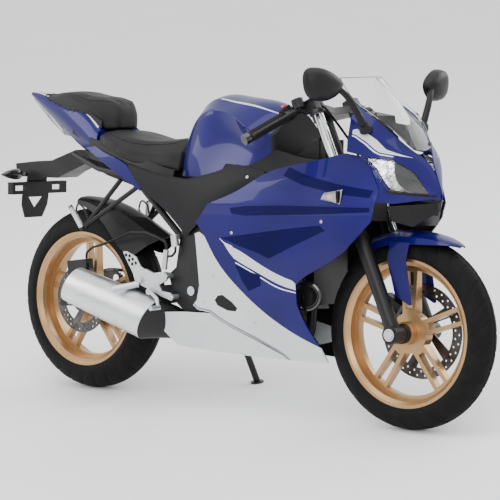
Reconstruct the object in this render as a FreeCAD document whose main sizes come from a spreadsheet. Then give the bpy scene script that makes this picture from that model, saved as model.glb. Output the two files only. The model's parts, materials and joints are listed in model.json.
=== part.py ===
import FreeCAD, Part
import math
import os
import re
from types import SimpleNamespace

import Sketcher
from FreeCAD import Placement, Rotation, Vector

# Sport bike, 125 cc class, leaning on its side stand.
# It is laid out upright first: +X forward, +Y to the rider's left, +Z up, the floor at z = 0
# and the rear axle at x = 0. The last step leans it on the stand and moves the origin.
# Shares along are of head_reach, shares out are of body_half, shares up are of top_height.

DIMENSIONS = (
    ("head_reach", 1000, "rear axle to the steering axis at the top yoke"),
    ("top_height", 1000, "floor to the rear of the tank's top"),
    ("body_half", 200, "half width that the body panels follow"),
    ("caster", 25, "steering axis from the vertical, degrees"),
    ("trail", 86, "contact point behind the steering axis"),
    ("lean", 10, "lean on the side stand, degrees"),
    ("steer_rest", 2.5, "bars turned to the left, degrees"),
    ("front_tyre_radius", 296, "100/80-17 tyre"),
    ("front_tyre_width", 100, ""),
    ("rear_tyre_radius", 307, "130/70-17 tyre"),
    ("rear_tyre_width", 130, ""),
    ("flange_radius", 228.5, "edge of both rims"),
    ("bead_radius", 215.9, "17 inch seat of both tyres"),
    ("flange_width", 5, ""),
    ("front_rim_half", 44, ""),
    ("rear_rim_half", 59, ""),
    ("barrel_wall", 9, "rim wall below the bead seat"),
    ("hub_radius", 36, ""),
    ("hub_nose_radius", 25, "register of the discs and the sprocket"),
    ("web_hub_half", 20, "half thickness of the spokes at the hub"),
    ("web_rim_half", 11, "half thickness of the spokes at the rim"),
    ("front_hub_half", 66, ""),
    ("rear_hub_half", 86, ""),
    ("front_disc_seat", 52, "left face of the front hub shoulder"),
    ("rear_disc_seat", 63, "right face of the rear hub shoulder"),
    ("sprocket_seat", 77, "left face of the rear hub shoulder"),
    ("spoke_root_radius", 52, "inner end of the rim's windows"),
    ("spoke_tip_radius", 192, "outer end of the rim's windows"),
    ("spoke_count", 5, "spoke pairs"),
    ("spoke_phase", 92, "one spoke pair's angle up from the front, degrees"),
    ("seat_gap", 0.3, "gap between fitted pieces of one body"),
    ("axle_radius", 7.5, ""),
    ("running_gap", 0.05, "radial clearance on axles and pivots"),
    ("front_disc_radius", 146, ""),
    ("rear_disc_radius", 115, ""),
    ("disc_band", 34, "width of the braking ring"),
    ("disc_thickness", 4, ""),
    ("disc_eye_radius", 44, "inner ring of a disc"),
    ("disc_arms", 5, ""),
    ("disc_hole_radius", 3.5, ""),
    ("disc_hole_count", 30, "holes in each of two rows"),
    ("sprocket_radius", 92, "over the teeth"),
    ("sprocket_thickness", 6, ""),
    ("sprocket_teeth", 48, ""),
    ("tooth_gap_radius", 4.2, ""),
    ("sprocket_hole_radius", 16, "lightening holes"),
    ("drive_radius", 30, "front sprocket, under its cover"),
    ("chain_pitch", 12.7, "428 chain"),
    ("chain_plate", 2.4, "thickness of a link's plates"),
    ("chain_pin", 2.2, "radius of a link's pin"),
    ("chain_plane", 80, "chain line left of the middle"),
    ("chain_width", 14, ""),
    ("chain_height", 12, ""),
    ("fork_half", 95, "fork legs from the middle"),
    ("fork_tube_radius", 16.5, ""),
    ("hub_collar", 24, "radius of the collars between hub and fork feet"),
    ("slider_radius", 23, ""),
    ("slider_length", 330, ""),
    ("slider_cap", 26, "dust cap at the slider's top"),
    ("axle_lug", 28, "slider foot around the axle"),
    ("yoke_thickness", 24, ""),
    ("yoke_gap", 200, "top yoke to lower yoke"),
    ("yoke_ring", 10, "clamp wall around a fork tube"),
    ("stem_radius", 13, ""),
    ("head_wall", 9, "wall of the head tube"),
    ("head_play", 1, "head tube to each yoke"),
    ("bar_radius", 11, ""),
    ("grip_radius", 16.5, ""),
    ("bar_end_length", 20, ""),
    ("clamp_height", 22, "bar clamp on a fork tube"),
    ("bar_length", 236, "clip-on bar from its clamp to the grip's end"),
    ("grip_length", 138, ""),
    ("switch_length", 34, "switch housing along the bar"),
    ("lever_radius", 6, ""),
    ("hose_radius", 4, "brake hoses"),
    ("reservoir_radius", 19, "brake fluid reservoir on the bar"),
    ("reservoir_height", 30, ""),
    ("panel_wall", 4, "moulded panels"),
    ("panel_gap", 1, "gap between neighbouring panels"),
    ("screen_wall", 3, ""),
    ("lens_depth", 16, "headlight unit behind its face"),
    ("frame_tube", 15, "radius of the frame's cross tubes"),
    ("seat_tube", 11, "radius of the subframe tubes"),
    ("hanger_tube", 8, "radius of the peg hangers"),
    ("hook_wire", 3, "radius of a luggage hook"),
    ("spar_width", 30, "width of a frame spar"),
    ("plate_wall", 12, "swingarm plates of the frame"),
    ("bracket_wall", 8, "footrest brackets"),
    ("holder_wall", 6, "plate holder's sheet"),
    ("pivot_radius", 9, "swingarm pivot pin"),
    ("arm_height", 56, "swingarm box section"),
    ("arm_width", 24, ""),
    ("arm_half", 100, "swingarm arm's middle from the middle"),
    ("axle_nut", 15, "radius of the rear axle's nuts"),
    ("pipe_radius", 16, "exhaust pipe under the engine"),
    ("shield_gap", 3, "exhaust to the belly pan"),
    ("lamp_radius", 19, "rear indicators"),
    ("lamp_stem", 6, ""),
    ("mirror_stalk", 9, "radius of a mirror's stalk at its head"),
    ("horn_radius", 36, ""),
    ("horn_depth", 26, ""),
    ("stand_tube", 11, "side stand leg radius"),
    ("stand_lug", 24, "lug between the stand and the frame's left plate"),
    ("overrun", 20, "length by which a cutter runs past its cut"),
)

ALONG_YOKE_SHARE = 1.0
UP_YOKE_SHARE = 0.946

doc = FreeCAD.newDocument("SportBike")
doc.UndoMode = 0


def make_sheet():
    sheet = doc.addObject("Spreadsheet::Sheet", "Sizes")
    for row, (name, value, note) in enumerate(DIMENSIONS, start=1):
        sheet.set(f"A{row}", name)
        sheet.set(f"B{row}", str(value))
        sheet.set(f"C{row}", note)
        sheet.setAlias(f"B{row}", name)
    doc.recompute()
    return sheet


sizes = make_sheet()
mm = SimpleNamespace(**{name: float(sizes.get(name)) for name, value, note in DIMENSIONS})
PARTS = []

ORIGIN = Vector(0, 0, 0)
AXIS_X = Vector(1, 0, 0)
AXIS_Y = Vector(0, 1, 0)
AXIS_Z = Vector(0, 0, 1)


# Helpers for places

def spot(along, out, up):
    """A point from shares; out is positive on the right side."""
    return Vector(along * mm.head_reach, -out * mm.body_half, up * mm.top_height)


def mirrored(shape):
    """The left twin of a right side shape."""
    return shape.mirror(ORIGIN, AXIS_Y)


def along_line(start, end, share):
    return start + (end - start) * share


CASTER = math.radians(mm.caster)
YOKE = spot(ALONG_YOKE_SHARE, 0, UP_YOKE_SHARE)
WHEELBASE = YOKE.x + YOKE.z * math.tan(CASTER) - mm.trail
FRONT_AXLE = Vector(WHEELBASE, 0, mm.front_tyre_radius)
REAR_AXLE = Vector(0, 0, mm.rear_tyre_radius)
FORK_OFFSET = mm.front_tyre_radius * math.sin(CASTER) - mm.trail * math.cos(CASTER)
FORK_DROP = (YOKE - FRONT_AXLE).dot(Vector(-math.sin(CASTER), 0, math.cos(CASTER)))
STEER = Placement(YOKE, Rotation(AXIS_Y, -mm.caster)) * Placement(ORIGIN, Rotation(AXIS_Z, mm.steer_rest))
FRONT_WHEEL = STEER * Placement(Vector(FORK_OFFSET, 0, -FORK_DROP), Rotation(AXIS_Y, mm.caster))
REAR_WHEEL = Placement(REAR_AXLE, Rotation())
UPRIGHT = Placement()


# Helpers for document objects

def bound(expression):
    """An expression whose words that name cells are read from the sheet."""
    names = {name for name, value, note in DIMENSIONS}
    return re.sub(r"[a-z_]+", lambda found: "Sizes." + found[0] if found[0] in names else found[0], expression)


def keep(obj, label, place=UPRIGHT):
    """Names a finished sub-part and gives it its place."""
    obj.Label = label
    obj.Placement = place
    PARTS.append(obj)
    return obj


def shaped(label, shape, place=UPRIGHT):
    """A sub-part with a free form."""
    obj = doc.addObject("Part::Feature", label)
    obj.Shape = shape
    return keep(obj, label, place * shape.Placement)


def cylinder(name, radius, height, place):
    obj = doc.addObject("Part::Cylinder", name)
    obj.setExpression("Radius", bound(radius))
    obj.setExpression("Height", bound(height))
    obj.Placement = place
    return obj


def fused(name, parts):
    obj = doc.addObject("Part::MultiFuse", name)
    obj.Shapes = parts
    return obj


def cut_from(name, base, tool):
    obj = doc.addObject("Part::Cut", name)
    obj.Base = base
    obj.Tool = tool
    return obj


def grouped(name, parts):
    obj = doc.addObject("Part::Compound", name)
    obj.Links = parts
    return obj


def lying(start):
    """A place at start whose height runs to the left, along +Y."""
    return Placement(start, Rotation(AXIS_X, -90))


# Helpers for PartDesign bodies

def origin_plane(body, role):
    return next(item for item in body.Origin.OriginFeatures if item.Role == role)


def new_sketch(body, name, role):
    sketch = body.newObject("Sketcher::SketchObject", name)
    sketch.AttachmentSupport = [(origin_plane(body, role), "")]
    sketch.MapMode = "FlatFace"
    return sketch


def add_polygon(sketch, corners):
    """A closed outline whose corners are held by expressions."""
    spots = [Vector(*[float(sizes.evalExpression(bound(side))) for side in corner], 0) for corner in corners]
    count = len(corners)
    first = sketch.GeometryCount
    for index in range(count):
        sketch.addGeometry(Part.LineSegment(spots[index], spots[(index + 1) % count]), False)
    for index in range(count):
        follower = first + (index + 1) % count
        sketch.addConstraint(Sketcher.Constraint("Coincident", first + index, 2, follower, 1))
    for index, corner in enumerate(corners):
        for kind, side in zip(("DistanceX", "DistanceY"), corner):
            value = float(sizes.evalExpression(bound(side)))
            number = sketch.addConstraint(Sketcher.Constraint(kind, -1, 1, first + index, 1, value))
            sketch.setExpression(f"Constraints[{number}]", bound(side))


def add_circle(sketch, centre, radius):
    spots = [float(sizes.evalExpression(bound(side))) for side in centre]
    size = float(sizes.evalExpression(bound(radius)))
    circle = sketch.addGeometry(Part.Circle(Vector(*spots, 0), AXIS_Z, size), False)
    number = sketch.addConstraint(Sketcher.Constraint("Radius", circle, size))
    sketch.setExpression(f"Constraints[{number}]", bound(radius))
    for kind, side, value in zip(("DistanceX", "DistanceY"), centre, spots):
        number = sketch.addConstraint(Sketcher.Constraint(kind, -1, 1, circle, 3, value))
        sketch.setExpression(f"Constraints[{number}]", bound(side))


def turned(body, name, sketch):
    """The sketch turned about the wheel's axis, which is the sketch's upright."""
    feature = body.newObject("PartDesign::Revolution", name)
    feature.Profile = sketch
    feature.ReferenceAxis = (sketch, ["V_Axis"])
    feature.Angle = 360
    doc.recompute()
    return feature


def pocketed(body, name, sketch):
    """A cut right through, both ways from the sketch."""
    feature = body.newObject("PartDesign::Pocket", name)
    feature.Profile = sketch
    feature.Type = "ThroughAll"
    feature.Midplane = True
    doc.recompute()
    return feature


def round_the_axis(body, name, features, count):
    """Copies of the features around the wheel's axis."""
    pattern = body.newObject("PartDesign::PolarPattern", name)
    pattern.Originals = features
    pattern.Axis = (origin_axis(body, "Y_Axis"), [""])
    pattern.Angle = 360
    pattern.Occurrences = int(count)
    body.Tip = pattern
    doc.recompute()
    return pattern


def origin_axis(body, role):
    return next(item for item in body.Origin.OriginFeatures if item.Role == role)


# Helpers for free forms

def polygon_face(points):
    return Part.Face(Part.makePolygon(points + points[:1]))


def side_prism(outline, inner, outer):
    """The block behind a side view outline, between two shares out."""
    points = [spot(along, inner, up) for along, up in outline]
    return polygon_face(points).extrude(Vector(0, -(outer - inner) * mm.body_half, 0))


def side_plate(outline, inner, wall):
    """A right side plate whose inner face is inner from the middle."""
    points = [spot(along, 0, up) - AXIS_Y * inner for along, up in outline]
    return polygon_face(points).extrude(AXIS_Y * -wall)


def pair(right):
    """A right side shape and its twin, as one compound."""
    return Part.makeCompound([right, mirrored(right)])


def offset_line(points, wall):
    """A line of (y, z) points down the right side, moved inward by the wall, corner by corner."""
    moved = []
    for index, point in enumerate(points):
        before = points[max(index - 1, 0)]
        after = points[min(index + 1, len(points) - 1)]
        run = (after - before).normalize()
        normal = Vector(0, -run.z, run.y)
        moved.append(point + normal * wall)
    return moved


def section(station, wall):
    """One closed section of a right side shell, from its top edge to its bottom edge."""
    along, line = station
    outer = [spot(along, out, up) for out, up in line]
    inner = offset_line(outer, wall)
    return Part.makePolygon(outer + inner[::-1] + outer[:1])


def shell(stations, wall, ruled=False):
    return Part.makeLoft([section(station, wall) for station in stations], True, ruled)


def solid_section(station):
    """One closed section of a solid that meets its own twin on the middle plane."""
    along, line = station
    half = [spot(along, out, up) for out, up in line]
    twin = [Vector(point.x, -point.y, point.z) for point in half[::-1]]
    points = half + [point for point in twin if abs(point.y) > 0]
    return Part.makePolygon(points + points[:1])


def body_of(stations, ruled=False):
    return Part.makeLoft([solid_section(station) for station in stations], True, ruled)


def swollen(stations, gap):
    """The same stations with each section moved outward by the gap."""
    rows = []
    for along, line in stations:
        moved = offset_line([spot(along, out, up) for out, up in line], -gap)
        rows.append((along, [(-point.y / mm.body_half if out else 0, point.z / mm.top_height)
                             for point, (out, up) in zip(moved, line)]))
    return rows


def largest(shape):
    return max(shape.Solids, key=lambda solid: solid.Volume)


def rounded_route(points, bend):
    """Straight runs joined by tangent arcs."""
    edges = []
    start = points[0]
    for index in range(1, len(points) - 1):
        corner = points[index]
        back = (points[index - 1] - corner).normalize()
        ahead = (points[index + 1] - corner).normalize()
        half = back.getAngle(ahead) / 2
        room = min((points[index - 1] - corner).Length, (points[index + 1] - corner).Length) * 0.45
        reach = min(bend / math.tan(half), room)
        first = corner + back * reach
        last = corner + ahead * reach
        middle_way = (back + ahead).normalize()
        radius = reach * math.tan(half)
        middle = corner + middle_way * (radius / math.sin(half) - radius)
        edges.append(Part.LineSegment(start, first).toShape())
        edges.append(Part.Arc(first, middle, last).toShape())
        start = last
    edges.append(Part.LineSegment(start, points[-1]).toShape())
    return Part.Wire(edges)


def tube(points, radius, bend):
    """A round bar or pipe along a route."""
    route = rounded_route(points, bend)
    ring = Part.Wire(Part.makeCircle(radius, points[0], points[1] - points[0]))
    return route.makePipeShell([ring], True, False)


def rod(start, end, radius):
    return Part.makeCylinder(radius, (end - start).Length, start, end - start)


def box_between(low, high):
    """A block between two corners."""
    span = high - low
    return Part.makeBox(abs(span.x), abs(span.y), abs(span.z),
                        Vector(min(low.x, high.x), min(low.y, high.y), min(low.z, high.z)))


def blended(sections, ruled=False):
    return Part.makeLoft([Part.makePolygon(points + points[:1]) for points in sections], True, ruled)


# Wheels

def make_rim(label, rim_half, hub_half, right_seat, left_seat, place):
    """A cast rim: turned barrel, web and hub, with the windows between the spokes cut through."""
    body = doc.addObject("PartDesign::Body", label)
    sketch = new_sketch(body, label + "_profile", "XY_Plane")
    bore = "axle_radius + running_gap"
    barrel = "bead_radius - barrel_wall"
    seat = "flange_radius - barrel_wall"
    add_polygon(sketch, (
        (bore, f"-({hub_half})"),
        ("hub_nose_radius", f"-({hub_half})"),
        ("hub_nose_radius", f"-({right_seat})"),
        ("hub_radius", f"-({right_seat})"),
        ("hub_radius", "-web_hub_half"),
        (barrel, "-web_rim_half"),
        (barrel, f"-({rim_half} - 2 * flange_width)"),
        (seat, f"-({rim_half})"),
        ("flange_radius", f"-({rim_half})"),
        ("flange_radius", f"-({rim_half} - flange_width)"),
        ("bead_radius", f"-({rim_half} - flange_width)"),
        ("bead_radius", f"{rim_half} - flange_width"),
        ("flange_radius", f"{rim_half} - flange_width"),
        ("flange_radius", rim_half),
        (seat, rim_half),
        (barrel, f"{rim_half} - 2 * flange_width"),
        (barrel, "web_rim_half"),
        ("hub_radius", "web_hub_half"),
        ("hub_radius", left_seat),
        ("hub_nose_radius", left_seat),
        ("hub_nose_radius", hub_half),
        (bore, hub_half),
    ))
    turned(body, label + "_turned", sketch)
    cuts = []
    half_pitch = "180 / spoke_count"
    for name, middle, shares in (("wide", f"spoke_phase - {half_pitch}", WIDE_WINDOW_SHARES),
                                 ("narrow", "spoke_phase", NARROW_WINDOW_SHARES)):
        window = new_sketch(body, f"{label}_{name}", "XZ_Plane")
        (inner_share, inner_half), (outer_share, outer_half) = shares
        inner_end = (spoke_radius(inner_share), middle, inner_half)
        outer_end = (spoke_radius(outer_share), middle, outer_half)
        add_window(window, inner_end, outer_end)
        cuts.append(pocketed(body, f"{label}_{name}_window", window))
    round_the_axis(body, label + "_spokes", cuts, mm.spoke_count)
    return keep(body, label, place)


# A window's inner and outer edge: a share from root to tip radius, and degrees either side of its middle
WIDE_WINDOW_SHARES = ((0.08, 14), (1.0, 27.5))
NARROW_WINDOW_SHARES = ((0.16, 8.5), (0.97, 4.6))


def spoke_radius(share):
    return f"(spoke_root_radius + {share} * (spoke_tip_radius - spoke_root_radius))"


def value_of(expression):
    return float(sizes.evalExpression(bound(str(expression))))


def add_window(sketch, inner, outer):
    """A window between two arcs about the axis, each a radius, the angle of its middle and a half angle."""
    arcs = []
    for radius, middle, half in (inner, outer):
        size = value_of(radius)
        turns = [value_of(f"{middle} {sign} {half}") for sign in "-+"]
        circle = Part.Circle(ORIGIN, AXIS_Z, size)
        arc = sketch.addGeometry(Part.ArcOfCircle(circle, math.radians(turns[0]), math.radians(turns[1])), False)
        sketch.addConstraint(Sketcher.Constraint("Coincident", arc, 3, -1, 1))
        number = sketch.addConstraint(Sketcher.Constraint("Radius", arc, size))
        sketch.setExpression(f"Constraints[{number}]", bound(radius))
        for end, sign, turn in ((1, "-", turns[0]), (2, "+", turns[1])):
            steep = abs(math.cos(math.radians(turn))) < abs(math.sin(math.radians(turn)))
            kind, wave = ("DistanceX", "cos") if steep else ("DistanceY", "sin")
            place = f"{radius} * {wave}({middle} {sign} {half})"
            number = sketch.addConstraint(Sketcher.Constraint(kind, -1, 1, arc, end, value_of(place)))
            sketch.setExpression(f"Constraints[{number}]", bound(place))
        arcs.append((arc, size, turns))
    for end in (1, 2):
        (first, size, turns), (second, far, far_turns) = arcs
        points = [Vector(reach * math.cos(math.radians(angle)), reach * math.sin(math.radians(angle)), 0)
                  for reach, angle in ((size, turns[end - 1]), (far, far_turns[end - 1]))]
        line = sketch.addGeometry(Part.LineSegment(points[0], points[1]), False)
        sketch.addConstraint(Sketcher.Constraint("Coincident", line, 1, first, end))
        sketch.addConstraint(Sketcher.Constraint("Coincident", line, 2, second, end))


def make_tyre(label, radius, width, rim_half, place):
    """A solid tyre with a round crown, on the rim between its flanges."""
    crown = width / 2
    bead = mm.bead_radius + mm.seat_gap
    inner = rim_half - mm.flange_width - mm.seat_gap
    edge = mm.flange_radius + mm.seat_gap
    shoulder = radius - crown
    points = [Vector(bead, -inner, 0), Vector(edge, -inner, 0), Vector(edge, -rim_half, 0),
              Vector(shoulder, -crown, 0), Vector(radius, 0, 0), Vector(shoulder, crown, 0),
              Vector(edge, rim_half, 0), Vector(edge, inner, 0), Vector(bead, inner, 0)]
    edges = [Part.LineSegment(points[index], points[index + 1]).toShape() for index in range(3)]
    edges.append(Part.Arc(points[3], points[4], points[5]).toShape())
    edges += [Part.LineSegment(points[index], points[index + 1]).toShape() for index in range(5, 8)]
    edges.append(Part.LineSegment(points[8], points[0]).toShape())
    ring = Part.Face(Part.Wire(edges)).revolve(ORIGIN, AXIS_Y, 360)
    return shaped(label, ring, place)


# A disc's opening: degrees either side of its middle at the eye and at the ring, and the lean of its arms
DISC_OPENING = SimpleNamespace(eye_half=20, ring_half=27, sweep=16)
# Rows of holes as shares of the braking ring, from its outer edge
DISC_ROW_SHARES = (0.30, 0.70)


def make_disc(label, radius, seat, place):
    """A brake disc: a ring on swept arms, with two staggered rows of holes."""
    body = doc.addObject("PartDesign::Body", label)
    sketch = new_sketch(body, label + "_profile", "XY_Plane")
    near = seat
    far = f"{seat} + disc_thickness"
    eye = "hub_nose_radius + seat_gap"
    add_polygon(sketch, ((eye, near), (radius, near), (radius, far), (eye, far)))
    turned(body, label + "_turned", sketch)
    window = new_sketch(body, label + "_window", "XZ_Plane")
    add_window(window, ("disc_eye_radius", f"{DISC_OPENING.sweep}", DISC_OPENING.eye_half),
               (f"({radius} - disc_band)", "0", DISC_OPENING.ring_half))
    arm = pocketed(body, label + "_opening", window)
    round_the_axis(body, label + "_arms", [arm], mm.disc_arms)
    holes = []
    for number, share in enumerate(DISC_ROW_SHARES):
        dot = new_sketch(body, f"{label}_hole_{number}", "XZ_Plane")
        row = f"({radius} - {share} * disc_band)"
        turn = f"{number} * 180 / disc_hole_count"
        add_circle(dot, (f"{row} * cos({turn})", f"{row} * sin({turn})"), "disc_hole_radius")
        holes.append(pocketed(body, f"{label}_drilled_{number}", dot))
    round_the_axis(body, label + "_holes", holes, mm.disc_hole_count)
    return keep(body, label, place)


def make_sprocket():
    """The rear sprocket with its tooth gaps and lightening holes."""
    body = doc.addObject("PartDesign::Body", "rear_sprocket")
    sketch = new_sketch(body, "sprocket_profile", "XY_Plane")
    near = "sprocket_seat"
    far = "sprocket_seat + sprocket_thickness"
    eye = "hub_nose_radius + seat_gap"
    add_polygon(sketch, ((eye, near), ("sprocket_radius", near), ("sprocket_radius", far), (eye, far)))
    turned(body, "sprocket_turned", sketch)
    window = new_sketch(body, "sprocket_window", "XZ_Plane")
    add_circle(window, ("(disc_eye_radius + sprocket_radius) / 2 - tooth_gap_radius", "0"), "sprocket_hole_radius")
    opening = pocketed(body, "sprocket_opening", window)
    round_the_axis(body, "sprocket_openings", [opening], mm.disc_arms)
    gap = new_sketch(body, "sprocket_tooth_gap", "XZ_Plane")
    add_circle(gap, ("sprocket_radius", "0"), "tooth_gap_radius")
    notch = pocketed(body, "sprocket_notch", gap)
    round_the_axis(body, "sprocket_notches", [notch], mm.sprocket_teeth)
    return keep(body, "rear_sprocket", REAR_WHEEL)


def make_wheels():
    make_rim("front_rim", "front_rim_half", "front_hub_half", "front_disc_seat", "front_disc_seat - seat_gap",
             FRONT_WHEEL)
    make_tyre("front_tyre", mm.front_tyre_radius, mm.front_tyre_width, mm.front_rim_half, FRONT_WHEEL)
    make_disc("front_disc", "front_disc_radius", "front_disc_seat", FRONT_WHEEL)
    make_rim("rear_rim", "rear_rim_half", "rear_hub_half", "rear_disc_seat - seat_gap",
             "sprocket_seat - seat_gap", REAR_WHEEL)
    make_tyre("rear_tyre", mm.rear_tyre_radius, mm.rear_tyre_width, mm.rear_rim_half, REAR_WHEEL)
    make_disc("rear_disc", "rear_disc_radius", "-rear_disc_seat - disc_thickness", REAR_WHEEL)
    make_sprocket()


# Fork and bars, laid out about the steering axis, which is the local upright

def leg_spot(side, drop):
    """A point on a fork leg, side 1 left or -1 right, drop below the top yoke."""
    return Vector(FORK_OFFSET, side * mm.fork_half, -drop)


def make_fork():
    tubes = []
    sliders = []
    for side, name in ((-1, "right"), (1, "left")):
        foot = leg_spot(side, FORK_DROP)
        tubes.append(cylinder(f"fork_tube_{name}", "fork_tube_radius - seat_gap",
                              f"{FORK_DROP - mm.slider_length} + 2 * slider_cap",
                              Placement(foot + AXIS_Z * (mm.slider_length - mm.slider_cap), Rotation())))
        barrel = cylinder(f"slider_{name}", "slider_radius", "slider_length", Placement(foot, Rotation()))
        lug = cylinder(f"axle_lug_{name}", "axle_lug", "2 * slider_radius + flange_width",
                       lying(foot - AXIS_Y * (mm.slider_radius + mm.flange_width / 2)))
        solid = fused(f"slider_body_{name}", [barrel, lug])
        well = cylinder(f"slider_bore_{name}", "fork_tube_radius", "slider_cap + overrun",
                        Placement(foot + AXIS_Z * (mm.slider_length - mm.slider_cap - mm.seat_gap), Rotation()))
        eye = cylinder(f"axle_eye_{name}", "axle_radius + running_gap", "2 * slider_radius + 2 * overrun",
                       lying(foot - AXIS_Y * (mm.slider_radius + mm.overrun)))
        sliders.append(cut_from(f"slider_cut_{name}", solid, fused(f"slider_holes_{name}", [well, eye])))
    keep(grouped("fork_tubes", tubes), "fork_tubes", STEER)
    keep(grouped("fork_sliders", sliders), "fork_sliders", STEER)


def make_front_axle():
    """The front axle with the collars that hold the hub between the fork feet."""
    reach = mm.fork_half + mm.slider_radius + mm.flange_width
    start = mm.front_hub_half + mm.seat_gap
    end = mm.fork_half - mm.slider_radius - mm.flange_width / 2 - mm.seat_gap
    pin = rod(AXIS_Y * -reach, AXIS_Y * reach, mm.axle_radius)
    collars = [rod(AXIS_Y * side * start, AXIS_Y * side * end, mm.hub_collar) for side in (-1, 1)]
    shaped("front_axle", pin.fuse(collars), FRONT_WHEEL)


def yoke_plate(drop, thickness):
    """A yoke: rings around the tubes joined by a waisted plate."""
    base = -drop - thickness / 2
    ring = mm.fork_tube_radius + mm.yoke_ring
    waist = mm.stem_radius * 2
    corners = [Vector(-waist, -waist, base), Vector(FORK_OFFSET - ring, -mm.fork_half, base),
               Vector(FORK_OFFSET + ring, -mm.fork_half, base), Vector(FORK_OFFSET, 0, base),
               Vector(FORK_OFFSET + ring, mm.fork_half, base), Vector(FORK_OFFSET - ring, mm.fork_half, base),
               Vector(-waist, waist, base)]
    plate = polygon_face(corners).extrude(AXIS_Z * thickness)
    hub = Part.makeCylinder(waist, thickness, Vector(0, 0, base))
    plate = plate.fuse(hub)
    for side in (-1, 1):
        centre = Vector(FORK_OFFSET, side * mm.fork_half, base)
        plate = plate.fuse(Part.makeCylinder(ring, thickness, centre))
    for side in (-1, 1):
        centre = Vector(FORK_OFFSET, side * mm.fork_half, base - mm.overrun)
        plate = plate.cut(Part.makeCylinder(mm.fork_tube_radius, thickness + 2 * mm.overrun, centre))
    return plate


def make_yokes():
    top = yoke_plate(0, mm.yoke_thickness)
    low = yoke_plate(mm.yoke_gap, mm.yoke_thickness)
    stem = Part.makeCylinder(mm.stem_radius, mm.yoke_gap, Vector(0, 0, -mm.yoke_gap))
    shaped("fork_yokes", top.fuse([low, stem]).removeSplitter(), STEER)


# A clip-on bar's way from its clamp: forward, out and up
BAR_WAY_SHARES = (-0.47, 0.83, -0.28)


def bar_line(side):
    """Where a bar starts, where its grip starts and where it ends."""
    out = mm.fork_tube_radius + mm.yoke_ring + mm.bar_radius / 2
    up = mm.yoke_thickness / 2 + mm.seat_gap + mm.clamp_height / 2
    start = Vector(FORK_OFFSET, side * (mm.fork_half + out), up)
    way = Vector(BAR_WAY_SHARES[0], side * BAR_WAY_SHARES[1], BAR_WAY_SHARES[2]).normalize()
    end = start + way * mm.bar_length
    return start, end - way * mm.grip_length, end, way


def make_bars():
    bars = []
    grips = []
    weights = []
    for side in (-1, 1):
        start, inner, end, way = bar_line(side)
        base = Vector(FORK_OFFSET, side * mm.fork_half, mm.yoke_thickness / 2 + mm.seat_gap)
        clamp = Part.makeCylinder(mm.fork_tube_radius + mm.yoke_ring, mm.clamp_height, base)
        clamp = clamp.fuse(rod(start - way * mm.bar_radius, end, mm.bar_radius))
        hole = Part.makeCylinder(mm.fork_tube_radius, mm.clamp_height + mm.overrun, base - AXIS_Z * mm.seat_gap)
        bars.append(clamp.cut(hole))
        sleeve = rod(inner, end, mm.grip_radius)
        grips.append(sleeve.cut(rod(inner - way, end + way, mm.bar_radius + mm.seat_gap)))
        weights.append(rod(end + way * mm.seat_gap, end + way * mm.bar_end_length, mm.grip_radius))
    shaped("handlebars", Part.makeCompound(bars), STEER)
    shaped("grips", Part.makeCompound(grips), STEER)
    shaped("bar_ends", Part.makeCompound(weights), STEER)


# How far along a lever its bend lies, and how thick a lever is at its tip
LEVER_BEND_SHARE = 0.3
LEVER_TIP_SHARE = 0.8


def make_controls():
    """Switch housings, lever perches and levers, with the brake's reservoir on the right."""
    pieces = []
    for side in (-1, 1):
        start, inner, end, way = bar_line(side)
        ahead = (AXIS_X - way * AXIS_X.dot(way)).normalize()
        switch_start = inner - way * mm.switch_length
        switch = rod(switch_start, inner - way * mm.head_play, mm.grip_radius + mm.panel_wall)
        perch_start = switch_start - way * mm.clamp_height
        perch = rod(perch_start, switch_start, mm.grip_radius)
        root = perch_start + way * mm.clamp_height / 2
        knuckle = root + ahead * 2 * mm.grip_radius
        tip = end + ahead * 2.5 * mm.grip_radius
        bend = along_line(knuckle, tip, LEVER_BEND_SHARE) + ahead * mm.panel_wall
        pieces_here = [perch, rod(root, knuckle, mm.bar_radius), rod(knuckle, bend, mm.lever_radius),
                       rod(bend, tip, mm.lever_radius * LEVER_TIP_SHARE), Part.makeSphere(mm.lever_radius, bend),
                       Part.makeSphere(mm.lever_radius, tip)]
        if side < 0:
            cup = Part.makeCylinder(mm.reservoir_radius, mm.reservoir_height, knuckle)
            pieces_here.append(cup)
        piece = switch.fuse(pieces_here)
        pieces.append(piece.cut(rod(perch_start - way, inner + way, mm.bar_radius + mm.seat_gap)))
    shaped("hand_controls", Part.makeCompound(pieces), STEER)


# Sections of the front mudguard: degrees up from the front, then shares of the tyre's radius at the crown and
# at the edge, and the share of the tyre's width at half its own
FENDER_SHARES = (
    (57, 1.108, 1.080, 0.14),
    (62, 1.094, 1.050, 0.36),
    (70, 1.080, 0.990, 0.58),
    (82, 1.070, 0.935, 0.67),
    (98, 1.066, 0.920, 0.67),
    (114, 1.066, 0.910, 0.67),
)
# A section's points: share of its half width, and share from its edge to its crown
FENDER_BOW_SHARES = ((1.0, 0.0), (0.92, 0.52), (0.62, 0.86), (0.0, 1.0))
# The blade beside a fork leg, in shares of the tyre's radius from the axle
BLADE_SHARES = ((-0.071, 0.392), (-0.182, 0.753), (-0.150, 0.940), (0.090, 0.940), (0.066, 0.820), (0.050, 0.740),
                (0.139, 0.311), (0.110, 0.300))


def guard_section(centre_radius, edge_radius, half, angle):
    """One closed section of a mudguard, in the plane through the axle at an angle."""
    line = []
    for out, up in FENDER_BOW_SHARES:
        line.append(Vector(0, out * half, edge_radius + up * (centre_radius - edge_radius)))
    line += [Vector(0, -point.y, point.z) for point in line[-2::-1]]
    inner = offset_line(line, mm.panel_wall)
    turn = math.radians(angle)
    ring = [Vector(point.z * math.cos(turn), point.y, point.z * math.sin(turn)) for point in line + inner[::-1]]
    return Part.makePolygon(ring + ring[:1])


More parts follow.
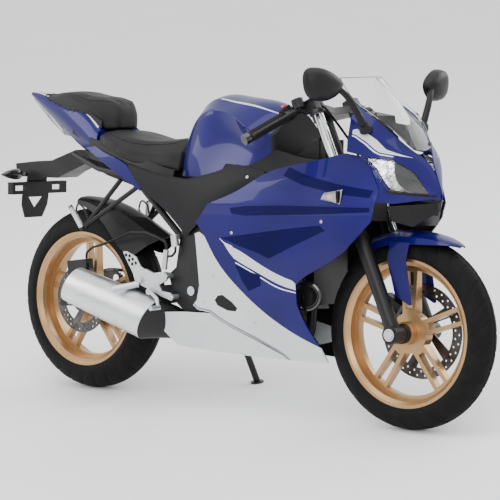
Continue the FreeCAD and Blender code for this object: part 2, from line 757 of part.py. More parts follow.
def make_front_fender():
    """A mudguard round the tyre, with a blade down beside each fork leg."""
    rows = []
    for angle, crown, edge, half in FENDER_SHARES:
        rows.append(guard_section(crown * mm.front_tyre_radius, edge * mm.front_tyre_radius,
                                  half * mm.front_tyre_width, angle))
    guard = Part.makeLoft(rows, True, False)
    out = mm.front_hub_half - mm.panel_wall / 2
    corners = [Vector(along, 0, up) * mm.front_tyre_radius - AXIS_Y * out for along, up in BLADE_SHARES]
    blade = polygon_face(corners).extrude(AXIS_Y * -mm.panel_wall)
    shaped("front_fender", guard.fuse([blade, mirrored(blade)]), FRONT_WHEEL)


# The front brake hose from the bar's cup to the caliper: forward, to the left and up from the top yoke's middle,
# as shares of the fork's drop to the axle
FRONT_HOSE_SHARES = ((0.0728, -0.2222, 0.0181), (0.1015, -0.1962, 0.0162), (0.1191, -0.1488, -0.0068),
                     (0.0920, -0.0500, -0.0850), (0.0893, 0.0000, -0.1650), (0.0930, 0.0270, -0.2700),
                     (0.0760, 0.0400, -0.3300), (0.0380, 0.0880, -0.4200), (0.0160, 0.1200, -0.5200),
                     (-0.0270, 0.1120, -0.6400), (-0.0700, 0.0880, -0.7500), (-0.0430, 0.0812, -0.8005))


def make_front_hose():
    points = [Vector(*shares) * FORK_DROP for shares in FRONT_HOSE_SHARES]
    shaped("front_brake_hose", tube(points, mm.hose_radius, 12 * mm.hose_radius), STEER)


# A caliper: degrees up from the front, and its block as shares of the disc's braking band
FRONT_CALIPER_SHARES = SimpleNamespace(turn=150, inward=1.0, outward=1.05, along=1.05, near=0.75, far=0.42)
REAR_CALIPER_SHARES = SimpleNamespace(turn=98, inward=0.45, outward=1.05, along=1.3, near=0.70, far=0.38)
# The ear that meets the left slider, in the same shares
SLIDER_EAR_SHARES = ((-0.55, 0.28, -2.80), (0.50, 0.575, -0.90))
# The bracket from the rear caliper down to the arm, in shares of the disc's radius from the axle
ARM_BRACKET_SHARES = ((-0.04, 0.70), (0.26, 0.83), (0.56, 0.26), (0.52, 0.04), (0.34, 0.0), (0.31, 0.26))


def caliper_block(disc_radius, near_face, side, low, high):
    """A block over a disc, from shares inward, sideways and along, before it is turned to its place."""
    reach = disc_radius - mm.disc_band / 2
    corners = [Vector(reach + along * mm.disc_band, side * (near_face + out * mm.disc_band), up * mm.disc_band)
               for along, out, up in (low, high)]
    return box_between(corners[0], corners[1])


def caliper(disc_radius, near_face, side, shares, ears):
    """A brake caliper over a disc whose faces lie at near_face and beyond, side 1 left or -1 right."""
    low = (-shares.inward, -shares.near, -shares.along)
    high = (shares.outward, shares.far, shares.along)
    block = caliper_block(disc_radius, near_face, side, low, high)
    play = 4 * mm.seat_gap
    end = (shares.along + 1) * mm.disc_band
    slot = box_between(Vector(0, side * (near_face - play), -end),
                       Vector(disc_radius + 2 * play, side * (near_face + mm.disc_thickness + play), end))
    shape = block.cut(slot)
    if ears:
        shape = shape.fuse(ears)
    shape.Placement = Placement(ORIGIN, Rotation(AXIS_Y, -shares.turn))
    return shape


def make_calipers():
    """The front one has an ear to the left slider, the rear one a bracket down to the arm."""
    ear = caliper_block(mm.front_disc_radius, mm.front_disc_seat, 1, SLIDER_EAR_SHARES[0], SLIDER_EAR_SHARES[1])
    front = caliper(mm.front_disc_radius, mm.front_disc_seat, 1, FRONT_CALIPER_SHARES, [ear])
    shaped("front_caliper", front, FRONT_WHEEL)
    rear = caliper(mm.rear_disc_radius, mm.rear_disc_seat, -1, REAR_CALIPER_SHARES, [])
    face = mm.arm_half - mm.arm_width / 2 - mm.seat_gap
    inner = mm.rear_disc_seat + mm.disc_thickness + mm.flange_width
    corners = [Vector(along, 0, up) * mm.rear_disc_radius - AXIS_Y * inner for along, up in ARM_BRACKET_SHARES]
    bracket = polygon_face(corners).extrude(AXIS_Y * -(face - inner))
    shaped("rear_caliper", rear.fuse(bracket), REAR_WHEEL)


# Nose cowl, headlights, screen and side panels

NOSE_SHARES = (
    (1.225, ((0.565, 0.986), (0.75, 0.948), (0.825, 0.883), (0.84, 0.845), (0.86, 0.760), (0.86, 0.700))),
    (1.285, ((0.54, 0.946), (0.68, 0.905), (0.77, 0.862), (0.815, 0.832), (0.83, 0.750), (0.80, 0.696))),
    (1.345, ((0.38, 0.892), (0.52, 0.868), (0.60, 0.848), (0.64, 0.824), (0.70, 0.736), (0.68, 0.692))),
    (1.385, ((0.24, 0.853), (0.36, 0.842), (0.44, 0.828), (0.48, 0.808), (0.48, 0.730), (0.44, 0.698))),
    (1.420, ((0.06, 0.815), (0.16, 0.806), (0.24, 0.790), (0.28, 0.772), (0.24, 0.722), (0.22, 0.704))),
    (1.460, ((0.01, 0.728), (0.02, 0.724), (0.03, 0.720), (0.035, 0.716), (0.03, 0.712), (0.02, 0.706))),
)
NOSE_OUTLINE_SHARES = ((1.215, 1.000), (1.224, 0.847), (1.274, 0.839), (1.314, 0.802), (1.349, 0.740), (1.347, 0.696),
                       (1.420, 0.690), (1.480, 0.690), (1.480, 0.900), (1.300, 1.020))
LAMP_OUTLINE_SHARES = ((1.278, 0.836), (1.364, 0.824), (1.410, 0.788), (1.436, 0.719), (1.377, 0.729),
                       (1.351, 0.737), (1.316, 0.800))
FULL_OUT_SHARE = 1.5


def make_nose():
    """The nose cowl with its headlights let in flush."""
    skin = shell(NOSE_SHARES, mm.panel_wall)
    lamp = shell(NOSE_SHARES, mm.lens_depth)
    opening = side_prism(LAMP_OUTLINE_SHARES, 0, FULL_OUT_SHARE)
    half = skin.common(side_prism(NOSE_OUTLINE_SHARES, 0, FULL_OUT_SHARE)).cut(opening)
    shaped("nose_cowl", pair(half))
    shaped("headlights", pair(lamp.common(opening)))


def cowl_room():
    """The space that other pieces leave to the nose cowl."""
    return pair(shell(swollen(NOSE_SHARES, mm.panel_gap), 2 * mm.panel_wall))


SCREEN_SHARES = (
    ((1.392, 0, 0.854), (1.380, 0.25, 0.863)),
    ((1.340, 0, 0.923), (1.290, 0.53, 0.953)),
    ((1.275, 0, 1.002), (1.213, 0.575, 1.002)),
    ((1.214, 0, 1.073), (1.134, 0.455, 1.069)),
)
# How far a screen section has bowed forward at each share of its half width
SCREEN_BOW_SHARES = ((1.0, 0.0), (0.75, 0.42), (0.4, 0.82), (0.0, 1.0))


def smooth_edge(points):
    curve = Part.BSplineCurve()
    curve.interpolate(points)
    return curve.toShape()


def screen_section(middle, edge):
    """A bowed line across the bike."""
    centre = spot(*middle)
    side = spot(*edge)
    line = []
    for out, bow in SCREEN_BOW_SHARES:
        ahead = side + (centre - side) * bow
        line.append(Vector(ahead.x, side.y * out, ahead.z))
    line += [Vector(point.x, -point.y, point.z) for point in line[-2::-1]]
    return Part.Wire([smooth_edge(line)])


def make_screen():
    wires = [screen_section(middle, edge) for middle, edge in SCREEN_SHARES]
    sheet = Part.makeLoft(wires, False, False).Faces[0]
    screen = sheet.extrude(Vector(-mm.screen_wall, 0, -mm.screen_wall))
    shaped("windscreen", largest(screen.cut(cowl_room())))


SIDE_SHARES = (
    (0.42, ((0.80, 0.760), (0.82, 0.715), (0.84, 0.665), (0.83, 0.630), (0.83, 0.540), (0.83, 0.410),
            (0.82, 0.310), (0.70, 0.200))),
    (0.62, ((0.88, 0.760), (0.91, 0.715), (0.95, 0.665), (0.92, 0.630), (0.88, 0.540), (0.86, 0.415),
            (0.85, 0.315), (0.60, 0.190))),
    (0.76, ((0.92, 0.765), (0.97, 0.720), (1.01, 0.670), (0.97, 0.635), (0.94, 0.530), (0.90, 0.410),
            (0.83, 0.300), (0.54, 0.185))),
    (0.91, ((0.92, 0.775), (1.00, 0.735), (1.045, 0.676), (1.00, 0.640), (0.97, 0.530), (0.89, 0.405),
            (0.74, 0.295), (0.45, 0.183))),
    (1.02, ((0.90, 0.800), (1.00, 0.760), (1.055, 0.680), (1.01, 0.645), (0.98, 0.535), (0.87, 0.405),
            (0.66, 0.290), (0.38, 0.182))),
    (1.12, ((0.83, 0.825), (0.98, 0.765), (1.060, 0.683), (1.02, 0.650), (0.98, 0.545), (0.85, 0.415),
            (0.60, 0.300), (0.34, 0.185))),
    (1.24, ((0.75, 0.850), (0.94, 0.765), (1.060, 0.685), (1.02, 0.655), (0.98, 0.560), (0.84, 0.440),
            (0.60, 0.320), (0.34, 0.190))),
    (1.36, ((0.70, 0.850), (0.85, 0.740), (0.99, 0.687), (0.95, 0.660), (0.92, 0.580), (0.80, 0.460),
            (0.60, 0.340), (0.34, 0.195))),
)
BLUE_OUTLINE_SHARES = ((0.626, 0.605), (0.690, 0.668), (0.843, 0.728), (0.909, 0.766), (0.990, 0.793), (1.084, 0.812),
                       (1.208, 0.842), (1.270, 0.834), (1.310, 0.797), (1.343, 0.737), (1.341, 0.690),
                       (1.331, 0.641), (1.188, 0.513), (1.075, 0.457), (1.040, 0.430), (1.032, 0.369),
                       (1.050, 0.292), (1.074, 0.233), (1.020, 0.259), (0.923, 0.319), (0.815, 0.401),
                       (0.708, 0.498), (0.663, 0.562))
WHITE_OUTLINE_SHARES = ((0.619, 0.568), (0.640, 0.574), (0.663, 0.562), (0.708, 0.498), (0.815, 0.401),
                        (0.923, 0.319), (1.020, 0.259), (1.074, 0.233), (1.086, 0.180), (1.080, 0.160),
                        (0.964, 0.160), (0.923, 0.200), (0.845, 0.240), (0.757, 0.279), (0.679, 0.320),
                        (0.629, 0.324), (0.607, 0.338), (0.624, 0.355), (0.636, 0.403), (0.627, 0.483))
BELLY_OUTLINE_SHARES = ((0.427, 0.301), (0.454, 0.244), (0.507, 0.194), (0.530, 0.160), (0.960, 0.160),
                        (0.921, 0.197), (0.843, 0.237), (0.755, 0.276), (0.677, 0.317), (0.560, 0.312))
STAND_NOTCH_SHARES = ((0.400, 0.150), (0.590, 0.150), (0.590, 0.300), (0.540, 0.330), (0.400, 0.330))
NOTCH_OUT_SHARE = 0.30
VENT_OUTLINE_SHARES = ((0.700, 0.362), (0.722, 0.372), (0.775, 0.352), (0.792, 0.338), (0.760, 0.336), (0.712, 0.346))
KEEL_DROP_SHARE = 0.008
KEEL_START = 5
BELLY_ROWS = 5


def make_side_panels():
    """The blue side fairings and the white ones below them, cut from one moulded skin."""
    skin = shell(SIDE_SHARES, mm.panel_wall)
    blue = skin.common(side_prism(BLUE_OUTLINE_SHARES, 0, FULL_OUT_SHARE))
    white = skin.common(side_prism(WHITE_OUTLINE_SHARES, 0, FULL_OUT_SHARE))
    white = white.cut(side_prism(VENT_OUTLINE_SHARES, 0, FULL_OUT_SHARE))
    for name, shape in (("side_fairing", blue), ("lower_fairing", white)):
        shaped(name + "_right", shape)
        shaped(name + "_left", mirrored(shape))
    return blue


def make_belly_pan():
    """A trough whose sides run up to the seam of the lower fairings."""
    rows = []
    for along, line in SIDE_SHARES[:BELLY_ROWS]:
        low_line = line[KEEL_START:]
        keel = (0, low_line[-1][1] - KEEL_DROP_SHARE)
        rows.append((along, low_line + (keel,)))
    half = shell(rows, mm.panel_wall)
    half = half.common(side_prism(BELLY_OUTLINE_SHARES, 0, FULL_OUT_SHARE))
    left = mirrored(half).cut(mirrored(side_prism(STAND_NOTCH_SHARES, NOTCH_OUT_SHARE, FULL_OUT_SHARE)))
    silencer = [exhaust_neck(mm.shield_gap), muffler_body(mm.shield_gap)]
    shaped("belly_pan", largest(half.fuse(left).cut(silencer)))


# Tank, seats and tail

TANK_SHARES = (
    (0.485, ((0, 0.880), (0.20, 0.872), (0.36, 0.850), (0.42, 0.800), (0.46, 0.745))),
    (0.535, ((0, 0.965), (0.28, 0.950), (0.46, 0.915), (0.52, 0.830), (0.54, 0.745))),
    (0.600, ((0, 1.008), (0.34, 0.994), (0.58, 0.952), (0.56, 0.850), (0.58, 0.750))),
    (0.690, ((0, 1.006), (0.38, 0.990), (0.66, 0.957), (0.58, 0.860), (0.64, 0.775))),
    (0.780, ((0, 0.997), (0.38, 0.978), (0.76, 0.928), (0.64, 0.850), (0.70, 0.790))),
    (0.840, ((0, 0.985), (0.34, 0.962), (0.78, 0.898), (0.68, 0.835), (0.70, 0.786))),
    (0.885, ((0, 0.970), (0.28, 0.948), (0.60, 0.890), (0.60, 0.835), (0.62, 0.780))),
)
COVER_SHARES = (
    (0.270, ((0.62, 0.800), (0.70, 0.775), (0.72, 0.740), (0.70, 0.700), (0.68, 0.660))),
    (0.400, ((0.64, 0.775), (0.72, 0.750), (0.74, 0.710), (0.72, 0.650), (0.71, 0.600))),
    (0.550, ((0.64, 0.755), (0.74, 0.735), (0.77, 0.680), (0.75, 0.600), (0.72, 0.530))),
    (0.680, ((0.70, 0.780), (0.78, 0.755), (0.84, 0.700), (0.82, 0.640), (0.78, 0.560))),
    (0.790, ((0.74, 0.805), (0.82, 0.780), (0.88, 0.740), (0.86, 0.690), (0.84, 0.640))),
    (0.905, ((0.76, 0.800), (0.82, 0.785), (0.86, 0.760), (0.86, 0.740), (0.84, 0.700))),
)
COVER_OUTLINE_SHARES = ((0.276, 0.781), (0.394, 0.755), (0.549, 0.738), (0.682, 0.768), (0.771, 0.793),
                        (0.900, 0.776),
                        (0.903, 0.768), (0.843, 0.732), (0.688, 0.671), (0.625, 0.612), (0.551, 0.554),
                        (0.453, 0.637), (0.345, 0.705))


def make_tank():
    shaped("fuel_tank", body_of(TANK_SHARES))


def make_frame_covers():
    skin = shell(COVER_SHARES, mm.panel_wall).common(side_prism(COVER_OUTLINE_SHARES, 0, FULL_OUT_SHARE))
    shaped("frame_cover_right", skin)
    shaped("frame_cover_left", mirrored(skin))


RIDER_SEAT_SHARES = (
    (0.115, ((0, 0.884), (0.40, 0.880), (0.54, 0.868), (0.55, 0.840), (0.40, 0.815), (0, 0.815))),
    (0.160, ((0, 0.880), (0.50, 0.876), (0.66, 0.862), (0.66, 0.830), (0.40, 0.815), (0, 0.815))),
    (0.260, ((0, 0.862), (0.50, 0.856), (0.70, 0.832), (0.69, 0.792), (0.40, 0.785), (0, 0.785))),
    (0.380, ((0, 0.856), (0.36, 0.848), (0.60, 0.815), (0.62, 0.770), (0.40, 0.766), (0, 0.766))),
    (0.475, ((0, 0.870), (0.24, 0.860), (0.42, 0.820), (0.50, 0.758), (0.40, 0.752), (0, 0.752))),
)
PILLION_SHARES = (
    (-0.222, ((0, 1.012), (0.13, 1.010), (0.20, 1.003), (0.18, 0.980), (0, 0.980))),
    (-0.120, ((0, 1.008), (0.26, 1.006), (0.34, 0.992), (0.34, 0.950), (0, 0.950))),
    (0.000, ((0, 1.001), (0.36, 0.998), (0.45, 0.976), (0.44, 0.910), (0, 0.910))),
    (0.085, ((0, 0.992), (0.34, 0.988), (0.43, 0.950), (0.41, 0.886), (0, 0.886))),
    (0.130, ((0, 0.982), (0.26, 0.978), (0.34, 0.940), (0.33, 0.886), (0, 0.886))),
    (0.152, ((0, 0.950), (0.14, 0.948), (0.20, 0.925), (0.20, 0.888), (0, 0.888))),
)
TAIL_SHARES = (
    (-0.304, ((0, 1.006), (0.05, 1.006), (0.08, 1.001), (0.07, 0.996), (0.05, 0.992), (0, 0.992))),
    (-0.235, ((0, 1.000), (0.14, 0.999), (0.19, 0.984), (0.18, 0.970), (0.13, 0.952), (0, 0.948))),
    (-0.107, ((0, 0.972), (0.29, 0.974), (0.35, 0.952), (0.34, 0.925), (0.27, 0.885), (0, 0.872))),
    (0.014, ((0, 0.942), (0.40, 0.952), (0.45, 0.930), (0.46, 0.860), (0.38, 0.820), (0, 0.808))),
    (0.110, ((0, 0.868), (0.46, 0.886), (0.52, 0.878), (0.53, 0.802), (0.40, 0.786), (0, 0.780))),
)
STRIP_OUTLINE_SHARES = ((0.060, 0.826), (0.112, 0.830), (0.160, 0.812), (0.250, 0.785), (0.272, 0.776),
                        (0.342, 0.702),
                        (0.336, 0.691), (0.290, 0.714), (0.188, 0.762))
STRIP_SHARES = (
    (0.040, ((0.56, 0.860), (0.57, 0.800), (0.56, 0.680))),
    (0.112, ((0.57, 0.850), (0.60, 0.800), (0.59, 0.680))),
    (0.200, ((0.64, 0.850), (0.66, 0.780), (0.64, 0.680))),
    (0.350, ((0.68, 0.850), (0.70, 0.740), (0.68, 0.680))),
)
# The lamp under the tail, from the deck's edge down to the tail's underside
TAIL_LAMP_SHARES = (
    (-0.298, ((0, 0.990), (0.05, 0.990), (0.03, 0.978), (0, 0.976))),
    (-0.200, ((0, 0.930), (0.15, 0.934), (0.12, 0.910), (0, 0.902))),
    (-0.120, ((0, 0.880), (0.25, 0.886), (0.18, 0.862), (0, 0.856))),
)


def make_tail():
    """The tail cowl with the lamp below it and the strips that run down to the frame covers."""
    core = body_of(TAIL_SHARES)
    strip = shell(STRIP_SHARES, mm.panel_wall).common(side_prism(STRIP_OUTLINE_SHARES, 0, FULL_OUT_SHARE))
    lamp = body_of(TAIL_LAMP_SHARES, True).cut(core)
    shaped("tail_cowl", core)
    shaped("tail_strips", pair(strip.cut(core)))
    shaped("tail_light", lamp)


def make_seats():
    """The two seats, each hollowed below where it sits on the tail."""
    rider = body_of(RIDER_SEAT_SHARES)
    pillion = body_of(PILLION_SHARES)
    room = body_of(swollen(TAIL_SHARES, mm.panel_gap))
    pillion = pillion.cut(room)
    shaped("pillion_seat", pillion)
    shaped("rider_seat", rider.cut(room).cut(pillion))


# Frame, engine and running gear

PIVOT_SHARES = (0.570, 0.378)


def pivot_spot(side, out):
    return Vector(PIVOT_SHARES[0] * mm.head_reach, side * out, PIVOT_SHARES[1] * mm.top_height)


def box_section(centre, width, height):
    """A flat upright rectangle across the bike."""
    half_width = width / 2
    half_height = height / 2
    return [centre + Vector(0, -half_width, -half_height), centre + Vector(0, half_width, -half_height),
            centre + Vector(0, half_width, half_height), centre + Vector(0, -half_width, half_height)]


# Rows of a spar: share along, out and up of its middle, and its height as a share of top_height
SPAR_SHARES = ((1.020, 0.16, 0.835, 0.095), (0.900, 0.44, 0.735, 0.085), (0.720, 0.58, 0.655, 0.090),
               (0.610, 0.60, 0.590, 0.110))
PLATE_SHARES = ((0.560, 0.640), (0.660, 0.600), (0.640, 0.520), (0.628, 0.380), (0.610, 0.288), (0.568, 0.288),
                (0.498, 0.340), (0.468, 0.425), (0.500, 0.450), (0.520, 0.560))
EAR_SHARES = ((0.610, 0.290), (0.580, 0.250), (0.500, 0.242), (0.480, 0.258), (0.488, 0.280), (0.545, 0.322))
GUSSET_SHARES = ((0.985, -0.22, 0.800), (1.045, 0.22, 0.875))
UPPER_CROSS_SHARES = (0.575, 0.590)
LOWER_CROSS_SHARES = (0.585, 0.300)
PLATE_INNER_SHARE = 0.62


def across(shares, half, radius):
    """A round bar across the bike, at shares along and up."""
    along, up = shares
    return rod(spot(along, 0, up) - AXIS_Y * half, spot(along, 0, up) + AXIS_Y * half, radius)


def make_main_frame():
    """The twin spars, head tube and swingarm plates as one welded frame."""
    inner = PLATE_INNER_SHARE * mm.body_half
    plate = side_plate(PLATE_SHARES, inner, mm.plate_wall)
    ear = side_plate(EAR_SHARES, inner, mm.plate_wall)
    pieces = [plate, mirrored(plate.fuse(ear))]
    for side in (-1, 1):
        rows = [box_section(spot(along, -side * out, up), mm.spar_width, tall * mm.top_height)
                for along, out, up, tall in SPAR_SHARES]
        pieces.append(blended(rows, True))
    cross_half = inner + mm.plate_wall / 2
    pieces.append(across(UPPER_CROSS_SHARES, cross_half, mm.frame_tube))
    pieces.append(across(LOWER_CROSS_SHARES, cross_half, mm.seat_tube))
    head_top = mm.yoke_thickness / 2 + mm.head_play
    head_low = mm.yoke_gap - mm.yoke_thickness / 2 - mm.head_play
    head = Part.makeCylinder(mm.stem_radius + mm.running_gap + mm.head_wall, head_low - head_top)
    head.Placement = STEER * Placement(Vector(0, 0, -head_low), Rotation())
    gusset = box_between(spot(*GUSSET_SHARES[0]), spot(*GUSSET_SHARES[1]))
    frame = head.fuse(pieces + [gusset])
    bore = Part.makeCylinder(mm.stem_radius + mm.running_gap, mm.yoke_gap + 2 * mm.overrun)
    bore.Placement = STEER * Placement(Vector(0, 0, -mm.yoke_gap - mm.overrun), Rotation())
    reach = mm.body_half
    pivot_hole = rod(pivot_spot(-1, reach), pivot_spot(1, reach), mm.pivot_radius + mm.seat_gap)
    frame = frame.cut(bore).cut(pivot_hole)
    shaped("main_frame", frame.fuse(stand_bracket()))


UPPER_RAIL_SHARES = ((0.560, 0.50, 0.625), (0.300, 0.50, 0.735), (0.100, 0.44, 0.755), (-0.040, 0.34, 0.800))
LOWER_RAIL_SHARES = ((0.545, 0.50, 0.500), (0.270, 0.50, 0.7375))
RAIL_CROSS_SHARES = ((0.430, 0.680), (0.200, 0.745))


def subframe_tubes(grow):
    """The seat rails and their cross tubes, as many solids as there are tubes."""
    radius = mm.seat_tube + grow
    tubes = []
    for side in (-1, 1):
        upper = [spot(along, -side * out, up) for along, out, up in UPPER_RAIL_SHARES]
        lower = [spot(along, -side * out, up) for along, out, up in LOWER_RAIL_SHARES]
        tubes.append(tube(upper, radius, 6 * mm.seat_tube))
        tubes.append(rod(lower[0], lower[1], radius))
        for start in (upper[0], lower[0]):
            out = PLATE_INNER_SHARE * mm.body_half - mm.seat_gap
            tubes.append(rod(start, Vector(start.x, side * out, start.z), mm.hanger_tube + grow))
    half = UPPER_RAIL_SHARES[0][1] * mm.body_half
    for shares in RAIL_CROSS_SHARES:
        tubes.append(across(shares, half, radius))
    return tubes


def make_subframe():
    tubes = subframe_tubes(0)
    shaped("rear_subframe", tubes[0].fuse(tubes[1:]))


CASE_BOX_SHARES = (
    ((0.606, -0.32, 0.240), (0.720, 0.32, 0.440)),
    ((0.700, -0.40, 0.236), (0.890, 0.40, 0.310)),
    ((0.700, -0.54, 0.290), (0.880, 0.54, 0.440)),
)
BARREL_SHARES = SimpleNamespace(root=(0.770, 0, 0.360), reach=0.200, half=0.30, tall=0.150)
BARREL_TILT = 35
COVER_DISC_SHARES = ((0.745, 0.345, 0.53, 0.61, 0.070), (0.835, 0.360, 0.53, 0.58, 0.055))


def make_engine():
    """The engine as one closed block: crankcase, barrel and covers."""
    boxes = [box_between(spot(*low), spot(*high)) for low, high in CASE_BOX_SHARES]
    half = BARREL_SHARES.half * mm.body_half
    barrel = box_between(Vector(0, -half, 0),
                         Vector(BARREL_SHARES.reach * mm.head_reach, half, BARREL_SHARES.tall * mm.top_height))
    barrel.Placement = Placement(spot(*BARREL_SHARES.root), Rotation(AXIS_Y, -BARREL_TILT))
    covers = []
    for along, up, inner, outer, size in COVER_DISC_SHARES:
        cover = rod(spot(along, inner, up), spot(along, outer, up), size * mm.head_reach)
        covers += [cover, mirrored(cover)]
    shaped("engine", boxes[0].fuse(boxes[1:] + [barrel] + covers))


# Rows of a swingarm arm: share along and up of its middle, and its height as a share of arm_height
ARM_SHARES = ((0.585, 0.378, 1.10), (0.400, 0.350, 1.10), (0.050, 0.313, 0.85), (-0.055, 0.305, 0.80))
ARM_CROSS_SHARES = (0.405, 0.350)
ARM_CROSS_SIZE_SHARE = 0.48


def arm_cross(grow):
    """The tube that joins the arms."""
    return across(ARM_CROSS_SHARES, mm.arm_half, ARM_CROSS_SIZE_SHARE * mm.arm_height + grow)


def make_swingarm():
    pieces = [arm_cross(0)]
    for side in (-1, 1):
        rows = []
        for along, up, tall in ARM_SHARES:
            centre = Vector(along * mm.head_reach, side * mm.arm_half, up * mm.top_height)
            rows.append(box_section(centre, mm.arm_width, mm.arm_height * tall))
        pieces.append(blended(rows, True))
    arm = pieces[0].fuse(pieces[1:])
    axle_hole = rod(REAR_AXLE - AXIS_Y * 2 * mm.arm_half, REAR_AXLE + AXIS_Y * 2 * mm.arm_half,
                    mm.axle_radius + mm.running_gap)
    pivot_hole = rod(pivot_spot(-1, mm.body_half), pivot_spot(1, mm.body_half), mm.pivot_radius + mm.running_gap)
    shaped("swingarm", arm.cut(axle_hole).cut(pivot_hole))
    face = mm.arm_half + mm.arm_width / 2
    reach = face + mm.arm_width / 2
    nuts = [rod(REAR_AXLE + AXIS_Y * side * (face + mm.seat_gap), REAR_AXLE + AXIS_Y * side * reach, mm.axle_nut)
            for side in (-1, 1)]
    pin = rod(REAR_AXLE - AXIS_Y * reach, REAR_AXLE + AXIS_Y * reach, mm.axle_radius)
    shaped("rear_axle", pin.fuse(nuts))
    half = PLATE_INNER_SHARE * mm.body_half + mm.plate_wall
    pivot = rod(pivot_spot(-1, half), pivot_spot(1, half), mm.pivot_radius)
    heads = [rod(pivot_spot(side, half + mm.seat_gap), pivot_spot(side, half + mm.flange_width), mm.axle_nut)
             for side in (-1, 1)]
    shaped("swingarm_pivot", pivot.fuse(heads))


SPRING_SHARES = (0.26, 0.80)


def make_shock():
    """The shock absorber between the arms' cross tube and the frame's."""
    low = spot(ARM_CROSS_SHARES[0], 0, ARM_CROSS_SHARES[1])
    top = spot(UPPER_CROSS_SHARES[0], 0, UPPER_CROSS_SHARES[1])
    body = rod(low, top, mm.frame_tube)
    spring = rod(along_line(low, top, SPRING_SHARES[0]), along_line(low, top, SPRING_SHARES[1]), 2 * mm.frame_tube)
    upper_cross = across(UPPER_CROSS_SHARES, mm.body_half, mm.frame_tube + mm.seat_gap)
    shaped("rear_shock", body.fuse(spring).cut(arm_cross(mm.seat_gap)).cut(upper_cross))


DRIVE_SHARES = (0.650, 0.372)
LINK_WAIST_SHARE = 0.64
PIN_FREE_LINKS = 5


class Loop:
    """The chain's pitch line round both sprockets, measured along its length."""

    def __init__(self):
        self.rear = Vector(0, 0, mm.rear_tyre_radius)
        self.front = spot(DRIVE_SHARES[0], 0, DRIVE_SHARES[1])
        span = self.front - self.rear
        tilt = math.acos((mm.sprocket_radius - mm.drive_radius) / span.Length)
        base = math.atan2(span.z, span.x)
        self.upper = base + tilt
        self.lower = base - tilt
        self.run = math.sqrt(span.Length ** 2 - (mm.sprocket_radius - mm.drive_radius) ** 2)
        self.front_arc = mm.drive_radius * (self.upper - self.lower)
        self.rear_arc = mm.sprocket_radius * (2 * math.pi - self.upper + self.lower)
        self.length = 2 * self.run + self.front_arc + self.rear_arc

    def at(self, travel):
        """The pitch line's point and outward way, and how far into a straight run it is."""
        for arc, centre, radius, turn in ((0, self.rear, mm.sprocket_radius, self.upper),
                                          (self.front_arc, self.front, mm.drive_radius, self.upper),
                                          (0, self.front, mm.drive_radius, self.lower),
                                          (self.rear_arc, self.rear, mm.sprocket_radius, self.lower)):
            if arc and travel <= arc:
                angle = turn - travel / radius
                way = Vector(math.cos(angle), 0, math.sin(angle))
                return centre + way * radius, way, 0
            travel -= arc
            if not arc and travel <= self.run:
                way = Vector(math.cos(turn), 0, math.sin(turn))
                ahead = Vector(math.sin(turn), 0, -math.cos(turn))
                return centre + way * radius + ahead * travel, way, min(travel, self.run - travel)
            if not arc:
                travel -= self.run
        return self.at(0)


def make_chain():
    """Two rows of waisted link plates round both sprockets, joined by the pins of the straight runs."""
    loop = Loop()
    links = round(loop.length / mm.chain_pitch)
    step = loop.length / links
    outer = []
    inner = []
    pins = []
    half = mm.chain_width / 2
    for index in range(2 * links):
        point, way, depth = loop.at(index * step / 2)
        reach = mm.chain_height / 2 * (1 if index % 2 == 0 else LINK_WAIST_SHARE)
        outer.append(point + way * reach)
        inner.append(point - way * reach)
        if index % 4 == 0 and depth > PIN_FREE_LINKS * step:
            low = point + AXIS_Y * (mm.chain_plane - half)
            corners = [low + AXIS_X * mm.chain_pin * math.cos(turn) + AXIS_Z * mm.chain_pin * math.sin(turn)
                       for turn in (math.radians(60 * corner) for corner in range(6))]
            pins.append(polygon_face(corners).extrude(AXIS_Y * mm.chain_width))
    wires = [Part.makePolygon(points + points[:1]) for points in (outer, inner)]
    face = Part.Face(Part.Face(wires[0]).cut(Part.Face(wires[1])).Faces[0])
    rows = []
    for start in (mm.chain_plane - half, mm.chain_plane + half - mm.chain_plate):
        row = face.copy()
        row.translate(AXIS_Y * start)
        rows.append(row.extrude(AXIS_Y * mm.chain_plate))
    shaped("chain", rows[0].fuse(rows[1:] + pins))


# Rows of the muffler from its front: share along, out and up of its middle, half width as a share of
# body_half and half height as a share of top_height
MUFFLER_SHARES = ((0.425, 0.86, 0.276, 0.270, 0.065), (0.240, 0.84, 0.322, 0.255, 0.063),
                  (0.057, 0.82, 0.367, 0.235, 0.058))
CAP_SHARES = ((0.427, 0.86, 0.2755, 0.270, 0.065), (0.482, 0.50, 0.258, 0.170, 0.046),
              (0.550, 0.42, 0.228, 0.100, 0.020))
OVAL_SLANT = 30
RECESS_SHARES = (0.80, 0.030)
HEADER_SHARES = ((0.917, 0, 0.500), (0.960, 0, 0.530), (0.972, 0, 0.440), (0.955, 0, 0.260), (0.900, 0.06, 0.214),
                 (0.660, 0.34, 0.214), (0.545, 0.42, 0.228))


def oval(centre, half_width, half_height):
    """A slanted oval across the bike, as one smooth closed wire."""
    count = 16
    tilt = math.radians(OVAL_SLANT)
    points = []
    for index in range(count):
        turn = 2 * math.pi * index / count
        up = half_height * math.sin(turn)
        points.append(centre + Vector(up * math.tan(tilt), half_width * math.cos(turn), up))
    curve = Part.BSplineCurve()
    curve.interpolate(points, PeriodicFlag=True)
    return Part.Wire(curve.toShape())


def oval_row(row, grow):
    along, out, up, wide, tall = row
    return oval(spot(along, out, up), wide * mm.body_half + grow, tall * mm.top_height + grow)


def exhaust_neck(grow):
    """The front cap that leads from the muffler to the pipe."""
    return Part.makeLoft([oval_row(row, grow) for row in CAP_SHARES], True, False)


def header(grow):
    return tube([spot(*shares) for shares in HEADER_SHARES], mm.pipe_radius + grow, 2.5 * mm.pipe_radius)


def muffler_body(grow):
    return Part.makeLoft([oval_row(row, grow) for row in MUFFLER_SHARES], True, False)


